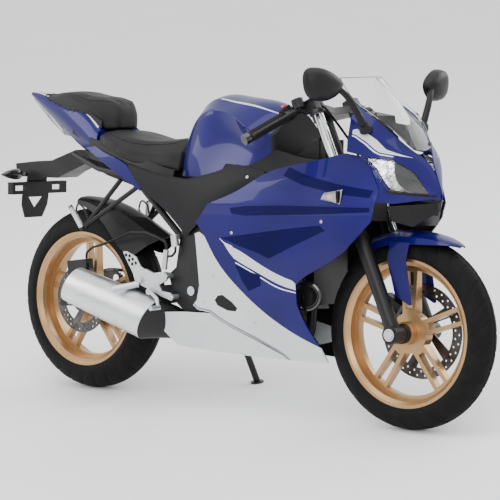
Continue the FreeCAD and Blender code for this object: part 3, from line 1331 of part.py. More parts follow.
def make_exhaust():
    """The oval muffler with its recessed end, and the pipe and cap that lead to it."""
    body = muffler_body(0)
    along, out, up, wide, tall = MUFFLER_SHARES[-1]
    size, depth = RECESS_SHARES
    hollow = [oval(spot(along + shift, out, up), size * wide * mm.body_half, size * tall * mm.top_height)
              for shift in (-depth, depth)]
    shaped("muffler", body.cut(Part.makeLoft(hollow, True, True)))
    corner = Vector(-mm.overrun, -mm.body_half / 2, -mm.body_half / 2)
    port = Part.makeBox(mm.overrun, mm.body_half, mm.body_half, corner)
    face = spot(*BARREL_SHARES.root)
    port.Placement = Placement(face, Rotation(AXIS_Y, -BARREL_TILT)) * Placement(
        AXIS_X * (BARREL_SHARES.reach * mm.head_reach + mm.seat_gap), Rotation())
    shaped("exhaust_pipe", header(0).cut(port).fuse(exhaust_neck(0)))


RADIATOR_SHARES = ((1.000, -0.42, 0.360), (1.035, 0.42, 0.580))
HORN_SHARES = (1.026, 0.55, 0.392)


def make_radiator():
    """The radiator with the horn on its bracket."""
    low, high = RADIATOR_SHARES
    horn = spot(*HORN_SHARES)
    disc = rod(horn + AXIS_Y * mm.horn_depth / 2, horn - AXIS_Y * mm.horn_depth / 2, mm.horn_radius)
    edge = Vector(spot(*low).x + mm.frame_tube, -high[1] * mm.body_half, horn.z)
    bracket = rod(edge + AXIS_Y * mm.hanger_tube, Vector(edge.x, horn.y, edge.z), mm.hanger_tube)
    shaped("radiator", box_between(spot(*low), spot(*high)).fuse([disc, bracket]))


def mirrored_quads(rows):
    """Four sided sections: each row is an upper and a lower corner, and its twins on the left."""
    sections = []
    for top, low in rows:
        sections.append([spot(top[0], top[1], top[2]), spot(top[0], -top[1], top[2]),
                         spot(low[0], -low[1], low[2]), spot(low[0], low[1], low[2])])
    return blended(sections, True)


INSTRUMENT_SHARES = (
    ((1.150, 0.34, 0.965), (1.185, 0.38, 0.885)),
    ((1.235, 0.28, 0.955), (1.250, 0.30, 0.880)),
)
CHIN_SHARES = (
    ((1.347, 0.62, 0.686), (1.347, 0.50, 0.640)),
    ((1.400, 0.42, 0.690), (1.400, 0.32, 0.624)),
    ((1.452, 0.05, 0.698), (1.452, 0.03, 0.668)),
)


def make_front_panels():
    """The instruments, and the dark panel under the nose."""
    shaped("instrument_panel", mirrored_quads(INSTRUMENT_SHARES))
    shaped("nose_underpanel", mirrored_quads(CHIN_SHARES))


# A mirror head's outline, seen from the front: out and up from its middle, as shares of its half sizes
MIRROR_OUTLINE_SHARES = ((-0.98, -0.10), (-0.80, 0.92), (-0.20, 1.0), (0.55, 0.62), (0.98, 0.02), (0.72, -0.62),
                         (0.10, -1.0), (-0.62, -0.86))
# Depth ahead of its middle and size of a mirror head's sections
MIRROR_DEPTH_SHARES = ((0.028, 0.55), (0.014, 0.90), (-0.017, 1.0))
MIRROR_SIZE_SHARES = (0.36, 0.050)
MIRROR_HEAD_SHARES = (1.227, 1.40, 1.049)
MIRROR_TOE = 11.5
STALK_SHARES = ((1.249, 1.16, 1.040), (1.262, 1.00, 1.006), (1.276, 0.675, 0.9085))


def make_mirrors():
    """A toed-in head on a stalk that stands on the cowl."""
    wires = []
    for ahead, size in MIRROR_DEPTH_SHARES:
        points = [Vector(ahead * mm.head_reach, out * size * MIRROR_SIZE_SHARES[0] * mm.body_half,
                         up * size * MIRROR_SIZE_SHARES[1] * mm.top_height) for out, up in MIRROR_OUTLINE_SHARES]
        curve = Part.BSplineCurve()
        curve.interpolate(points, PeriodicFlag=True)
        wires.append(Part.Wire(curve.toShape()))
    head = Part.makeLoft(wires, True, False)
    head.Placement = Placement(spot(*MIRROR_HEAD_SHARES), Rotation(AXIS_Z, -MIRROR_TOE))
    stalk = tube([spot(*shares) for shares in STALK_SHARES], mm.mirror_stalk, 3 * mm.mirror_stalk)
    right = largest(head.fuse(stalk).cut(cowl_room()))
    shaped("mirror_right", right)
    shaped("mirror_left", mirrored(right))


FRONT_LAMP_SHARES = (
    ((1.170, 1.039, 0.700), (1.235, 1.053, 0.690), (1.235, 0.990, 0.735), (1.180, 1.004, 0.725)),
    ((1.168, 1.100, 0.702), (1.228, 1.105, 0.694), (1.228, 1.080, 0.726), (1.178, 1.085, 0.722)),
    ((1.180, 1.165, 0.706), (1.215, 1.165, 0.702), (1.215, 1.165, 0.718), (1.186, 1.165, 0.716)),
)
REAR_LAMP_SHARES = (-0.290, 0.30, 0.722)
# A rear indicator's profile: share of its reach, and of its radius
TEARDROP_SHARES = ((0.0, 0.30), (0.18, 0.32), (0.22, 0.80), (0.32, 1.0), (0.55, 0.90), (0.80, 0.55), (1.0, 0.08))
REAR_LAMP_REACH_SHARE = 0.55


def turned_profile(points, start, way):
    """A solid turned about an axis from (travel, radius) points, with a smooth outline."""
    side = [Vector(radius, 0, travel) for travel, radius in points]
    ends = [Vector(0, 0, points[-1][0]), Vector(0, 0, points[0][0])]
    edges = [smooth_edge(side), Part.LineSegment(side[-1], ends[0]).toShape(),
             Part.LineSegment(ends[0], ends[1]).toShape(), Part.LineSegment(ends[1], side[0]).toShape()]
    solid = Part.Face(Part.Wire(edges)).revolve(ORIGIN, AXIS_Z, 360)
    solid.Placement = Placement(start, Rotation(AXIS_Z, way))
    return solid


def make_indicators(fairing):
    front = blended([[spot(*corner) for corner in row] for row in FRONT_LAMP_SHARES], True).cut(fairing)
    reach = REAR_LAMP_REACH_SHARE * mm.body_half
    profile = [(travel * reach, radius * mm.lamp_radius) for travel, radius in TEARDROP_SHARES]
    rear = turned_profile(profile, spot(*REAR_LAMP_SHARES), -AXIS_Y)
    shaped("front_indicators", pair(front))
    shaped("rear_indicators", pair(rear))


HOLDER_SHARES = (
    ((-0.060, 0.20, 0.812), (0.008, 0.20, 0.773)),
    ((-0.177, 0.20, 0.772), (-0.090, 0.20, 0.736)),
    ((-0.240, 0.24, 0.768), (-0.140, 0.24, 0.713)),
    ((-0.337, 0.29, 0.757), (-0.330, 0.29, 0.712)),
)
HOLDER_BAR_SHARES = ((-0.300, -0.65, 0.652), (-0.276, 0.65, 0.694))
HOLDER_SLOT_SHARES = ((0.30, 0.58, 0.664, 0.682),)
# The plate under the holder: half width at each height
HOLDER_PLATE_SHARES = ((0.23, 0.720), (0.23, 0.694), (0.31, 0.645), (0.30, 0.612), (0.20, 0.568))
HOLDER_HOLE_SHARES = ((0.0, 0.600), (0.17, 0.640), (-0.17, 0.640))
HOLDER_PLATE_ALONG_SHARES = (-0.292, -0.312)


def sloped_sheet(outline, wall):
    """A sheet across the bike from (out, up) corners, leaning back towards its foot."""
    top_along, low_along = HOLDER_PLATE_ALONG_SHARES
    top = HOLDER_PLATE_SHARES[0][1]
    low = HOLDER_PLATE_SHARES[-1][1]
    points = [spot(top_along + (low_along - top_along) * (top - up) / (top - low), out, up) for out, up in outline]
    return polygon_face(points).extrude(AXIS_X * wall)


def make_plate_holder():
    """The arm, cross bar and backing sheet for the number plate."""
    arm = mirrored_quads(HOLDER_SHARES)
    bar = box_between(spot(*HOLDER_BAR_SHARES[0]), spot(*HOLDER_BAR_SHARES[1]))
    for inner, outer, low, high in HOLDER_SLOT_SHARES:
        slot = box_between(spot(HOLDER_BAR_SHARES[0][0], inner, low) - AXIS_X * mm.overrun,
                           spot(HOLDER_BAR_SHARES[1][0], outer, high) + AXIS_X * mm.overrun)
        bar = bar.cut(slot).cut(mirrored(slot))
    outline = list(HOLDER_PLATE_SHARES) + [(-out, up) for out, up in HOLDER_PLATE_SHARES[::-1]]
    sheet = sloped_sheet(outline, mm.holder_wall)
    hole = sloped_sheet(HOLDER_HOLE_SHARES, 2 * mm.overrun)
    hole.translate(AXIS_X * -mm.overrun)
    stems = rod(spot(*REAR_LAMP_SHARES) + AXIS_Y * mm.seat_gap,
                spot(REAR_LAMP_SHARES[0], 0, REAR_LAMP_SHARES[2]), mm.lamp_stem)
    shaped("plate_holder", arm.fuse([bar, sheet.cut(hole), stems, mirrored(stems)]))


TRAY_SHARES = (
    (0.022, ((0, 0.796), (0.30, 0.796), (0.27, 0.764), (0, 0.764))),
    (0.110, ((0, 0.766), (0.34, 0.766), (0.30, 0.732), (0, 0.732))),
    (0.280, ((0, 0.728), (0.34, 0.728), (0.30, 0.690), (0, 0.690))),
)
# Sections of the rear mudguard, as for the front one but of the rear tyre's sizes
HUGGER_SHARES = (
    (97, 1.140, 1.060, 0.40),
    (77, 1.130, 0.960, 0.52),
    (63, 1.153, 0.890, 0.56),
    (43.5, 1.257, 0.850, 0.575),
    (33, 1.368, 0.980, 0.575),
)


def make_undertray():
    tray = body_of(TRAY_SHARES, True)
    for item in subframe_tubes(mm.seat_gap):
        tray = tray.cut(item)
    shaped("undertray", tray)


def make_hugger():
    rows = [guard_section(crown * mm.rear_tyre_radius, edge * mm.rear_tyre_radius, half * mm.rear_tyre_width, angle)
            for angle, crown, edge, half in HUGGER_SHARES]
    shaped("rear_hugger", Part.makeLoft(rows, True, False), REAR_WHEEL)


HEEL_SHARES = ((0.292, 0.490), (0.308, 0.493), (0.353, 0.476), (0.371, 0.448), (0.394, 0.436), (0.336, 0.426),
               (0.313, 0.457))
HEEL_HOLE_SHARES = ((0.306, 0.480), (0.322, 0.478), (0.320, 0.464), (0.336, 0.468), (0.334, 0.452), (0.350, 0.456))
BRACKET_SHARES = ((0.336, 0.426), (0.394, 0.440), (0.430, 0.428), (0.475, 0.436), (0.492, 0.424), (0.486, 0.408),
                  (0.455, 0.392), (0.468, 0.372), (0.505, 0.368), (0.520, 0.356), (0.510, 0.344), (0.470, 0.354),
                  (0.440, 0.364), (0.405, 0.376), (0.350, 0.392), (0.345, 0.405))
BRACKET_BOLT_SHARES = ((0.482, 0.421), (0.508, 0.356))
BRACKET_INNER_SHARE = 0.80
PEG_SHARES = ((0.362, 0.83, 0.388), (0.306, 1.15, 0.372))
BOSS_SHARES = (0.372, 0.404)
PEDAL_SHARES = ((0.427, 0.91, 0.369), (0.466, 0.95, 0.350), (0.484, 1.00, 0.322))
PAD_SHARES = ((0.484, 0.98, 0.322), (0.484, 1.19, 0.322))
PEDAL_EYE_SHARES = ((0.427, 0.83, 0.369), (0.427, 0.94, 0.369))
REAR_CUP_SHARES = ((0.512, 0.76, 0.520), (0.506, 0.76, 0.556))
REAR_MASTER_SHARES = ((0.462, 0.75, 0.442), (0.470, 0.75, 0.505))


def make_rearsets():
    """Footrest brackets with heel plate, peg and pedal, and the rear brake's cylinder on the right."""
    inner = BRACKET_INNER_SHARE * mm.body_half
    plate = side_plate(BRACKET_SHARES, inner, mm.bracket_wall)
    heel = side_plate(HEEL_SHARES, inner + mm.panel_wall, mm.panel_wall)
    for along, up in HEEL_HOLE_SHARES:
        heel = heel.cut(across((along, up), mm.body_half, mm.lamp_stem))
    frame_face = PLATE_INNER_SHARE * mm.body_half + mm.plate_wall + mm.seat_gap
    mounts = []
    for along, up in BRACKET_BOLT_SHARES:
        middle = spot(along, 0, up)
        mounts.append(rod(middle - AXIS_Y * frame_face, middle - AXIS_Y * (inner + mm.bracket_wall / 2),
                          mm.hanger_tube))
    boss = spot(BOSS_SHARES[0], 0, BOSS_SHARES[1]) - AXIS_Y * inner
    pieces = [heel, rod(boss, boss - AXIS_Y * 2 * mm.bracket_wall, mm.bar_radius),
              rod(spot(*PEG_SHARES[0]), spot(*PEG_SHARES[1]), mm.bar_radius),
              rod(spot(*PEDAL_EYE_SHARES[0]), spot(*PEDAL_EYE_SHARES[1]), mm.bar_radius),
              tube([spot(*shares) for shares in PEDAL_SHARES], mm.lamp_stem, 2 * mm.lamp_stem),
              rod(spot(*PAD_SHARES[0]), spot(*PAD_SHARES[1]), mm.hanger_tube)]
    right = plate.fuse(mounts + pieces)
    cup = rod(spot(*REAR_CUP_SHARES[0]), spot(*REAR_CUP_SHARES[1]), mm.stem_radius)
    master = rod(spot(*REAR_MASTER_SHARES[0]), spot(*REAR_MASTER_SHARES[1]), mm.pivot_radius)
    shaped("rearset_right", Part.makeCompound([right, cup, master]))
    shaped("rearset_left", mirrored(right))


REAR_HOSE_SHARES = ((0.020, 0.325, 0.4466), (0.024, 0.34, 0.466), (0.060, 0.39, 0.486),
                    (0.120, 0.45, 0.500), (0.198, 0.475, 0.526),
                    (0.262, 0.50, 0.550), (0.344, 0.56, 0.553), (0.413, 0.66, 0.543), (0.466, 0.74, 0.530),
                    (0.4705, 0.75, 0.5068))
CUP_HOSE_SHARES = ((0.5125, 0.76, 0.5185), (0.511, 0.76, 0.500), (0.496, 0.755, 0.487), (0.4783, 0.75, 0.4845))


def make_rear_hoses():
    """The brake hose from the caliper to its cylinder, and the short one from the cylinder to its cup."""
    hoses = [tube([spot(*shares) for shares in row], mm.hose_radius, reach * mm.hose_radius)
             for row, reach in ((REAR_HOSE_SHARES, 12), (CUP_HOSE_SHARES, 3))]
    shaped("rear_brake_hoses", Part.makeCompound(hoses))


HANGER_JOINT_SHARES = (0.102, 0.75, 0.566)
HANGER_TOP_SHARES = ((0.225, 0.56, 0.722), (0.300, 0.56, 0.700))
PILLION_PEG_SHARES = ((0.093, 0.775, 0.552), (0.066, 0.95, 0.632))
HOOK_SHARES = ((0.102, 0.75, 0.560), (0.056, 0.76, 0.606), (0.066, 0.77, 0.644), (0.098, 0.77, 0.622),
               (0.112, 0.74, 0.585))


def make_pillion_pegs():
    joint = spot(*HANGER_JOINT_SHARES)
    pieces = [rod(spot(*shares), joint, mm.hanger_tube) for shares in HANGER_TOP_SHARES]
    pieces.append(Part.makeSphere(mm.hanger_tube + mm.hook_wire, joint))
    pieces.append(rod(spot(*PILLION_PEG_SHARES[0]), spot(*PILLION_PEG_SHARES[1]), mm.hanger_tube))
    pieces.append(tube([spot(*shares) for shares in HOOK_SHARES], mm.hook_wire, 4 * mm.hook_wire))
    right = pieces[0].fuse(pieces[1:])
    for item in subframe_tubes(mm.seat_gap):
        right = right.cut(item)
    shaped("pillion_pegs", pair(right))


# Side stand

LEAN = math.radians(mm.lean)
FLOOR_UP = Vector(0, -math.sin(LEAN), math.cos(LEAN))
FLOOR_LEVEL = -mm.rear_tyre_width / 2 * (1 - math.cos(LEAN))
STAND_PIVOT = spot(0.500, -0.76, 0.262)
STAND_FOLDED_WAY = Vector(-1, 0, 0.08)
STAND_FOOT_SHARES = (0.530, -1.20)


def on_floor(along, out):
    """A point of the floor that the leaning bike stands on, laid out upright."""
    flat = spot(along, out, 0)
    return Vector(flat.x, flat.y, (FLOOR_LEVEL - flat.y * FLOOR_UP.y) / FLOOR_UP.z)


STAND_FOOT = on_floor(*STAND_FOOT_SHARES)
STAND_AXIS = (STAND_FOOT - STAND_PIVOT).cross(STAND_FOLDED_WAY).normalize()
STAND_INWARD = STAND_AXIS if STAND_AXIS.y < 0 else STAND_AXIS * -1


def make_side_stand():
    """A leg on a pivot bolt, with a flat foot on the floor."""
    half = mm.stand_tube / 2
    eye_radius = 1.6 * mm.stand_tube
    eye = rod(STAND_PIVOT - STAND_INWARD * half, STAND_PIVOT + STAND_INWARD * half, eye_radius)
    ankle = STAND_FOOT + FLOOR_UP * half
    leg = rod(STAND_PIVOT, ankle, mm.stand_tube)
    pad = rod(STAND_FOOT, ankle, 2 * mm.stand_tube)
    hole = rod(STAND_PIVOT - STAND_INWARD * mm.overrun, STAND_PIVOT + STAND_INWARD * mm.overrun,
               mm.pivot_radius + mm.running_gap)
    below = rod(STAND_FOOT - FLOOR_UP * mm.overrun * 2, STAND_FOOT, 4 * mm.stand_tube)
    for side in (-1, 1):
        face = STAND_PIVOT + STAND_INWARD * side * half
        leg = leg.cut(rod(face, face + STAND_INWARD * side * mm.overrun, eye_radius + mm.flange_width))
    shaped("side_stand", eye.fuse([leg, pad]).cut(hole).cut(below))


def stand_bracket():
    """The lug and bolt that the stand turns on, part of the frame."""
    gap = mm.stand_tube / 2 + mm.seat_gap
    inner = STAND_PIVOT + STAND_INWARD * gap
    lug = rod(inner, inner + STAND_INWARD * mm.stand_lug, mm.axle_nut)
    outer = STAND_PIVOT - STAND_INWARD * gap
    end = outer - STAND_INWARD * mm.flange_width
    bolt = rod(inner, end, mm.pivot_radius)
    head = rod(outer, end, mm.axle_nut)
    return lug.fuse([bolt, head])


def park(parts):
    """Leans the bike on its stand, with the origin below the middle of its box."""
    tilt = Placement(ORIGIN, Rotation(AXIS_X, -mm.lean))
    boxes = []
    for part in parts:
        part.Placement = tilt * part.Placement
    doc.recompute()
    for part in parts:
        boxes.append(part.Shape.optimalBoundingBox(False, False))
    low = Vector(min(box.XMin for box in boxes), min(box.YMin for box in boxes), min(box.ZMin for box in boxes))
    high = Vector(max(box.XMax for box in boxes), max(box.YMax for box in boxes), low.z)
    shift = Placement((low + high) * -0.5, Rotation())
    for part in parts:
        part.Placement = shift * part.Placement
    doc.recompute()


def check(parts):
    for item in doc.Objects:
        faults = {"Invalid", "Error"} & set(item.State)
        if faults:
            raise RuntimeError(f"{item.Label} is {faults}")
    broken = [part.Label for part in parts if part.Shape.isNull() or not part.Shape.isValid()]
    if broken:
        raise RuntimeError(f"no valid shape: {broken}")


def write(parts):
    os.makedirs("parts", exist_ok=True)
    for part in parts:
        part.Shape.exportStep(f"parts/{part.Label}.step")


make_wheels()
make_fork()
make_front_axle()
make_yokes()
make_bars()
make_controls()
make_front_fender()
make_front_hose()
make_calipers()
make_nose()
make_screen()
fairing = make_side_panels()
make_belly_pan()
make_tank()
make_frame_covers()
make_tail()
make_seats()
make_main_frame()
make_subframe()
make_engine()
make_swingarm()
make_shock()
make_chain()
make_exhaust()
make_radiator()
make_front_panels()
make_mirrors()
make_indicators(fairing)
make_plate_holder()
make_undertray()
make_hugger()
make_rearsets()
make_rear_hoses()
make_pillion_pegs()
make_side_stand()
doc.recompute()
park(PARTS)
check(PARTS)
write(PARTS)
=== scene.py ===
import json
import math
from contextlib import contextmanager

import bmesh
import bpy
import numpy as np
from mathutils import Matrix, Vector

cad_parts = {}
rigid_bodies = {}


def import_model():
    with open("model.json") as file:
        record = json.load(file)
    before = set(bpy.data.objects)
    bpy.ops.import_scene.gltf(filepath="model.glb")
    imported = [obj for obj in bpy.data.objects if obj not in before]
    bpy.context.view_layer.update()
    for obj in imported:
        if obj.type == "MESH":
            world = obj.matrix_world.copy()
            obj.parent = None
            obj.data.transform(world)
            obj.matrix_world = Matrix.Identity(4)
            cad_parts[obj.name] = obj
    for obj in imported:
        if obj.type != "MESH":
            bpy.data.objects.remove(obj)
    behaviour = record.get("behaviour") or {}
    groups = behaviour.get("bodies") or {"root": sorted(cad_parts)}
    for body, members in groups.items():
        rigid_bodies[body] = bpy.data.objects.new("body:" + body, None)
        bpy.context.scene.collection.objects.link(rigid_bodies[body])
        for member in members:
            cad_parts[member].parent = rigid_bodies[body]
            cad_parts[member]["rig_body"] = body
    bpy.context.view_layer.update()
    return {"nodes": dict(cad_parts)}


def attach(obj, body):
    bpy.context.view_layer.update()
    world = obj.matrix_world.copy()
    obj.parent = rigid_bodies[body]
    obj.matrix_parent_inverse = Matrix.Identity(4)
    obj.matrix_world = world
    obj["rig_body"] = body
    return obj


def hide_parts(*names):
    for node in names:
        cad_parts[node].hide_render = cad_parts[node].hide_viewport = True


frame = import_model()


# Places. Points are laid out on the upright bike in metres: +X forward, +Y to the rider's left, +Z up, the
# rear axle at x = 0. The tables that mm() turns into metres hold x and height in millimetres, and places
# across in thousandths of HALF, positive to the right.

def at(x, y, z):
    return Matrix.Translation((x, y, z))


def spin(degrees, axis):
    return Matrix.Rotation(math.radians(degrees), 4, axis)


def mm(table):
    """A table of millimetres or thousandths in metres or shares."""
    return tuple(mm(entry) for entry in table) if isinstance(table, tuple) else table / 1000


HALF = 0.2
LEAN, CASTER, STEERED = 10, 25, 2.5
FRONT_RADIUS, REAR_RADIUS = 0.296, 0.307
PARK = at(-0.656947, -0.169722, 0.000988) @ spin(-LEAN, "X")
STEER = PARK @ at(1.0, 0, 0.946) @ spin(-CASTER, "Y") @ spin(STEERED, "Z")
FRONT = STEER @ at(0.047153, 0, -0.73917) @ spin(CASTER, "Y")
REAR = PARK @ at(0, 0, REAR_RADIUS)
AS_IS = Matrix.Identity(4)
SIDES = ((-1, "right"), (1, "left"))


def spot(along, out, up):
    return np.array((along, -out * HALF, up))


# Materials, each with the slot of the record that it fills

SLOTS = {}
SOCKETS = {"metal": "Metallic", "shine": "Specular IOR Level", "coat": "Coat Weight",
           "film": "Coat Roughness", "clear": "Transmission Weight", "bend": "IOR", "drawn": "Anisotropic"}


def add(tree, kind, **sockets):
    node = tree.nodes.new(kind)
    for name, value in sockets.items():
        node.inputs[name.replace("_", " ")].default_value = value
    return node


def finish(name, slot, low, high, patch=6, rough=(0.4, 0.5), bump=0.0, grain=400, cells=False,
           stretch=(1, 1, 1), **sockets):
    """A procedural finish: two near colours in patches, uneven roughness and a fine relief."""
    made = bpy.data.materials.new(name)
    made.use_nodes = True
    SLOTS[made.name] = slot
    tree = made.node_tree
    link = tree.links.new
    shader = tree.nodes["Principled BSDF"]
    coords = add(tree, "ShaderNodeTexCoord")
    place = add(tree, "ShaderNodeMapping", Scale=stretch)
    link(coords.outputs["Object"], place.inputs["Vector"])
    patches = add(tree, "ShaderNodeTexNoise", Scale=patch, Detail=5.0, Roughness=0.6)
    link(place.outputs[0], patches.inputs["Vector"])
    ramp = add(tree, "ShaderNodeValToRGB")
    for stop, position, color in zip(ramp.color_ramp.elements, (0.35, 0.65), (low, high)):
        stop.position = position
        stop.color = (*color, 1)
    link(patches.outputs[0], ramp.inputs[0])
    link(ramp.outputs[0], shader.inputs["Base Color"])
    gloss = add(tree, "ShaderNodeMapRange", From_Min=0.3, From_Max=0.7, To_Min=rough[0], To_Max=rough[1])
    link(patches.outputs[0], gloss.inputs["Value"])
    link(gloss.outputs[0], shader.inputs["Roughness"])
    if bump:
        fine = add(tree, "ShaderNodeTexVoronoi" if cells else "ShaderNodeTexNoise", Scale=grain)
        if cells:
            fine.feature = "DISTANCE_TO_EDGE"
        link(place.outputs[0], fine.inputs["Vector"])
        relief = add(tree, "ShaderNodeBump", Strength=1.0, Distance=bump)
        link(fine.outputs[0], relief.inputs["Height"])
        link(relief.outputs[0], shader.inputs["Normal"])
    for word, value in sockets.items():
        shader.inputs[SOCKETS[word]].default_value = value
    return made


BLUE = finish("deep_blue_lacquer", "blue_paint", (0.004, 0.002, 0.075), (0.006, 0.003, 0.105), 5,
              (0.3, 0.36), 0.00002, 1500, metal=0.25, shine=0.12, coat=0.32, film=0.03)
# A darker copy of the blue lacquer, used only for films of painted shade on the side panels.
PAINTED_SHADE_BLUE = finish("painted_shade_blue_lacquer", "blue_paint", (0.001, 0.001, 0.036), (0.002, 0.001, 0.05), 5,
              (0.3, 0.36), 0.00002, 1500, metal=0.2, shine=0.06, coat=0.06, film=0.05)
WHITE = finish("white_lacquer", "white_paint", (0.52, 0.56, 0.57), (0.58, 0.62, 0.63), 4, (0.25, 0.32),
               0.00002, 900, coat=0.8, film=0.05)
PALE = finish("pale_stripe", "white_paint", (0.72, 0.75, 0.84), (0.78, 0.8, 0.88), 9, (0.25, 0.32),
              0.00001, 900, coat=0.8, film=0.05)
COVER = finish("charcoal_grained", "dark_cover", (0.007, 0.007, 0.008), (0.011, 0.011, 0.012), 9,
               (0.46, 0.56), 0.00012, 1600, shine=0.14)
PLASTIC = finish("black_moulded", "black_plastic", (0.003, 0.003, 0.0035), (0.006, 0.006, 0.007), 12,
                 (0.38, 0.52), 0.0001, 1300, shine=0.22)
GLOSS_BLACK = finish("black_gloss", "black_plastic", (0.006, 0.006, 0.007), (0.01, 0.01, 0.012), 8,
                     (0.12, 0.2), 0.00001, 600, coat=0.6, film=0.05)
VINYL = finish("seat_vinyl", "seat_vinyl", (0.007, 0.007, 0.0075), (0.013, 0.013, 0.014), 14, (0.5, 0.62),
               0.00022, 700, True, shine=0.22)
RUBBER = finish("tyre_rubber", "tyre_rubber", (0.003, 0.003, 0.0035), (0.007, 0.007, 0.007), 22, (0.6, 0.78),
                0.00012, 900, shine=0.12)
GOLD = finish("gold_cast", "gold_cast", (0.37, 0.22, 0.098), (0.44, 0.265, 0.125), 10, (0.3, 0.38),
              0.00006, 1400, metal=0.8, coat=0.25, film=0.12)
DISC = finish("ground_disc", "disc_steel", (0.055, 0.054, 0.056), (0.11, 0.105, 0.105), 40, (0.28, 0.42),
              0.00006, 900, metal=1.0)
CHROME = finish("hard_chrome", "bright_steel", (0.72, 0.73, 0.75), (0.8, 0.81, 0.82), 10, (0.07, 0.12),
                0.00001, 500, metal=1.0)
SATIN = finish("satin_black_metal", "black_metal", (0.004, 0.004, 0.0045), (0.008, 0.008, 0.009), 16,
               (0.34, 0.46), 0.00008, 1100, shine=0.3)
SILVER = finish("blasted_aluminium", "silver_metal", (0.5, 0.51, 0.53), (0.62, 0.63, 0.64), 14, (0.36, 0.48),
                0.0001, 1500, metal=0.95)
BRUSHED = finish("brushed_silver", "silencer", (0.62, 0.63, 0.65), (0.74, 0.75, 0.76), 60, (0.26, 0.4),
                 0.00006, 900, stretch=(0.08, 1, 1), metal=0.95, drawn=0.4)
ENGINE = finish("cast_engine", "engine_metal", (0.06, 0.06, 0.064), (0.11, 0.11, 0.115), 12, (0.44, 0.6),
                0.00025, 700, metal=0.6)
GRIP = finish("grip_rubber", "grip_rubber", (0.004, 0.004, 0.004), (0.008, 0.008, 0.008), 30, (0.62, 0.8),
              0.0002, 1200, shine=0.2)
CLEAR = finish("clear_lens", "clear_lens", (0.95, 0.97, 0.98), (1.0, 1.0, 1.0), 5, (0.0, 0.02), clear=1.0,
               bend=1.05, coat=0.25, film=0.01)
SMOKE = finish("smoked_lens", "clear_lens", (0.5, 0.5, 0.52), (0.6, 0.6, 0.62), 5, (0.02, 0.05),
               clear=0.8, bend=1.2, coat=1.0, film=0.03)
LENS = finish("dark_lens", "black_plastic", (0.012, 0.012, 0.012), (0.02, 0.02, 0.019), 8, (0.1, 0.16),
              0.00002, 300, coat=0.5, film=0.03)
INDICATOR = finish("indicator_lens", "amber_lens", (0.8, 0.79, 0.76), (0.88, 0.87, 0.85), 30, (0.1, 0.16),
                   0.0003, 260, clear=0.65, bend=1.25, coat=0.8, film=0.03)
# A grey film in the joint between the lower fairing and the belly pan: painted shade.
PAINTED_SEAM_SHADE = finish("joint_shadow", "white_paint", (0.16, 0.18, 0.18), (0.22, 0.24, 0.24), 12, (0.45, 0.6),
               0.00004, 900)
AMBER = finish("amber_bulb", "amber_lens", (0.85, 0.25, 0.02), (0.95, 0.33, 0.04), 20, (0.15, 0.25), coat=1.0)
RED = finish("red_part", "black_plastic", (0.55, 0.02, 0.02), (0.66, 0.03, 0.03), 20, (0.25, 0.35),
             0.00005, 900, coat=0.5)
MIRROR = finish("mirror_face", "bright_steel", (0.85, 0.86, 0.87), (0.88, 0.89, 0.9), 3, (0.01, 0.02),
                metal=1.0)
REFLECTOR = finish("lamp_reflector", "clear_lens", (0.1, 0.11, 0.1), (0.85, 0.86, 0.84), 55, (0.1, 0.18),
                   0.0012, 130, metal=1.0)
FLOOR = finish("pale_floor", "", (0.88, 0.88, 0.88), (0.9, 0.9, 0.9), 1.5, (0.5, 0.6), 0.00005, 200)


# Helpers for shapes

SHEET = 0.003
WELD = 1e-6


@contextmanager
def edited(mesh):
    shape = bmesh.new()
    shape.from_mesh(mesh)
    yield shape
    shape.to_mesh(mesh)
    shape.free()


def shown(name, data):
    item = bpy.data.objects.new(name, data)
    bpy.context.scene.collection.objects.link(item)
    return item


def refine(points, per):
    """A smooth curve through rows of points, per steps to a span; points may be grids."""
    points = np.asarray(points, float)
    count = len(points)
    if count < 3:
        shares = np.linspace(0, 1, per + 1).reshape((-1,) + (1,) * (points.ndim - 1))
        return points[0] * (1 - shares) + points[1] * shares
    flat = points.reshape(count, -1)
    steps = np.sqrt(((flat[1:] - flat[:-1]) ** 2).sum(1) / (flat.shape[1] / 3)) + 1e-9
    system = np.zeros((count, count))
    right = np.zeros_like(flat)
    system[0, 0] = system[-1, -1] = 1
    for row in range(1, count - 1):
        system[row, row - 1:row + 2] = (steps[row - 1], 2 * (steps[row - 1] + steps[row]), steps[row])
        ahead, behind = (flat[row + 1] - flat[row]) / steps[row], (flat[row] - flat[row - 1]) / steps[row - 1]
        right[row] = 6 * (ahead - behind)
    bend = np.linalg.solve(system, right)
    made = [flat[0]]
    for span in range(count - 1):
        size = steps[span]
        for share in np.linspace(0, 1, per + 1)[1:]:
            rest = 1 - share
            curve = (rest ** 3 - rest) * bend[span] + (share ** 3 - share) * bend[span + 1]
            made.append(rest * flat[span] + share * flat[span + 1] + size ** 2 / 6 * curve)
    return np.array(made).reshape((len(made),) + points.shape[1:])


def bent(line, creases, per, soft=0.0015):
    """A line smooth between its creases, and rounded off by a small flat at each."""
    line = [np.asarray(point, float) for point in line]
    stops = [0] + sorted(creases) + [len(line) - 1]
    made = []
    for first, last in zip(stops[:-1], stops[1:]):
        run = refine(line[first:last + 1], per)
        if first:
            run[0] = run[0] + (run[1] - run[0]) / np.linalg.norm(run[1] - run[0]) * soft
        if last < len(line) - 1:
            run[-1] = run[-1] + (run[-2] - run[-1]) / np.linalg.norm(run[-2] - run[-1]) * soft
        made.extend(run)
    return np.array(made)


def surface(rows, creases, along=6, across=4):
    """A grid over a table of cross sections, refined both ways."""
    grid = [bent([spot(x, out, up) for out, up in line], creases, across) for x, line in rows]
    return refine(grid, along)


def pushed(grid, amount):
    """The grid moved along its own normals, to the side away from the bike's inside."""
    down = np.gradient(grid, axis=0)
    over = np.gradient(grid, axis=1)
    normal = np.cross(down, over)
    normal /= np.linalg.norm(normal, axis=2, keepdims=True) + 1e-12
    middle = grid.mean(axis=(0, 1)) * (1, 0, 1)
    if (normal * (grid - middle)).sum() < 0:
        normal = -normal
    return grid + normal * amount


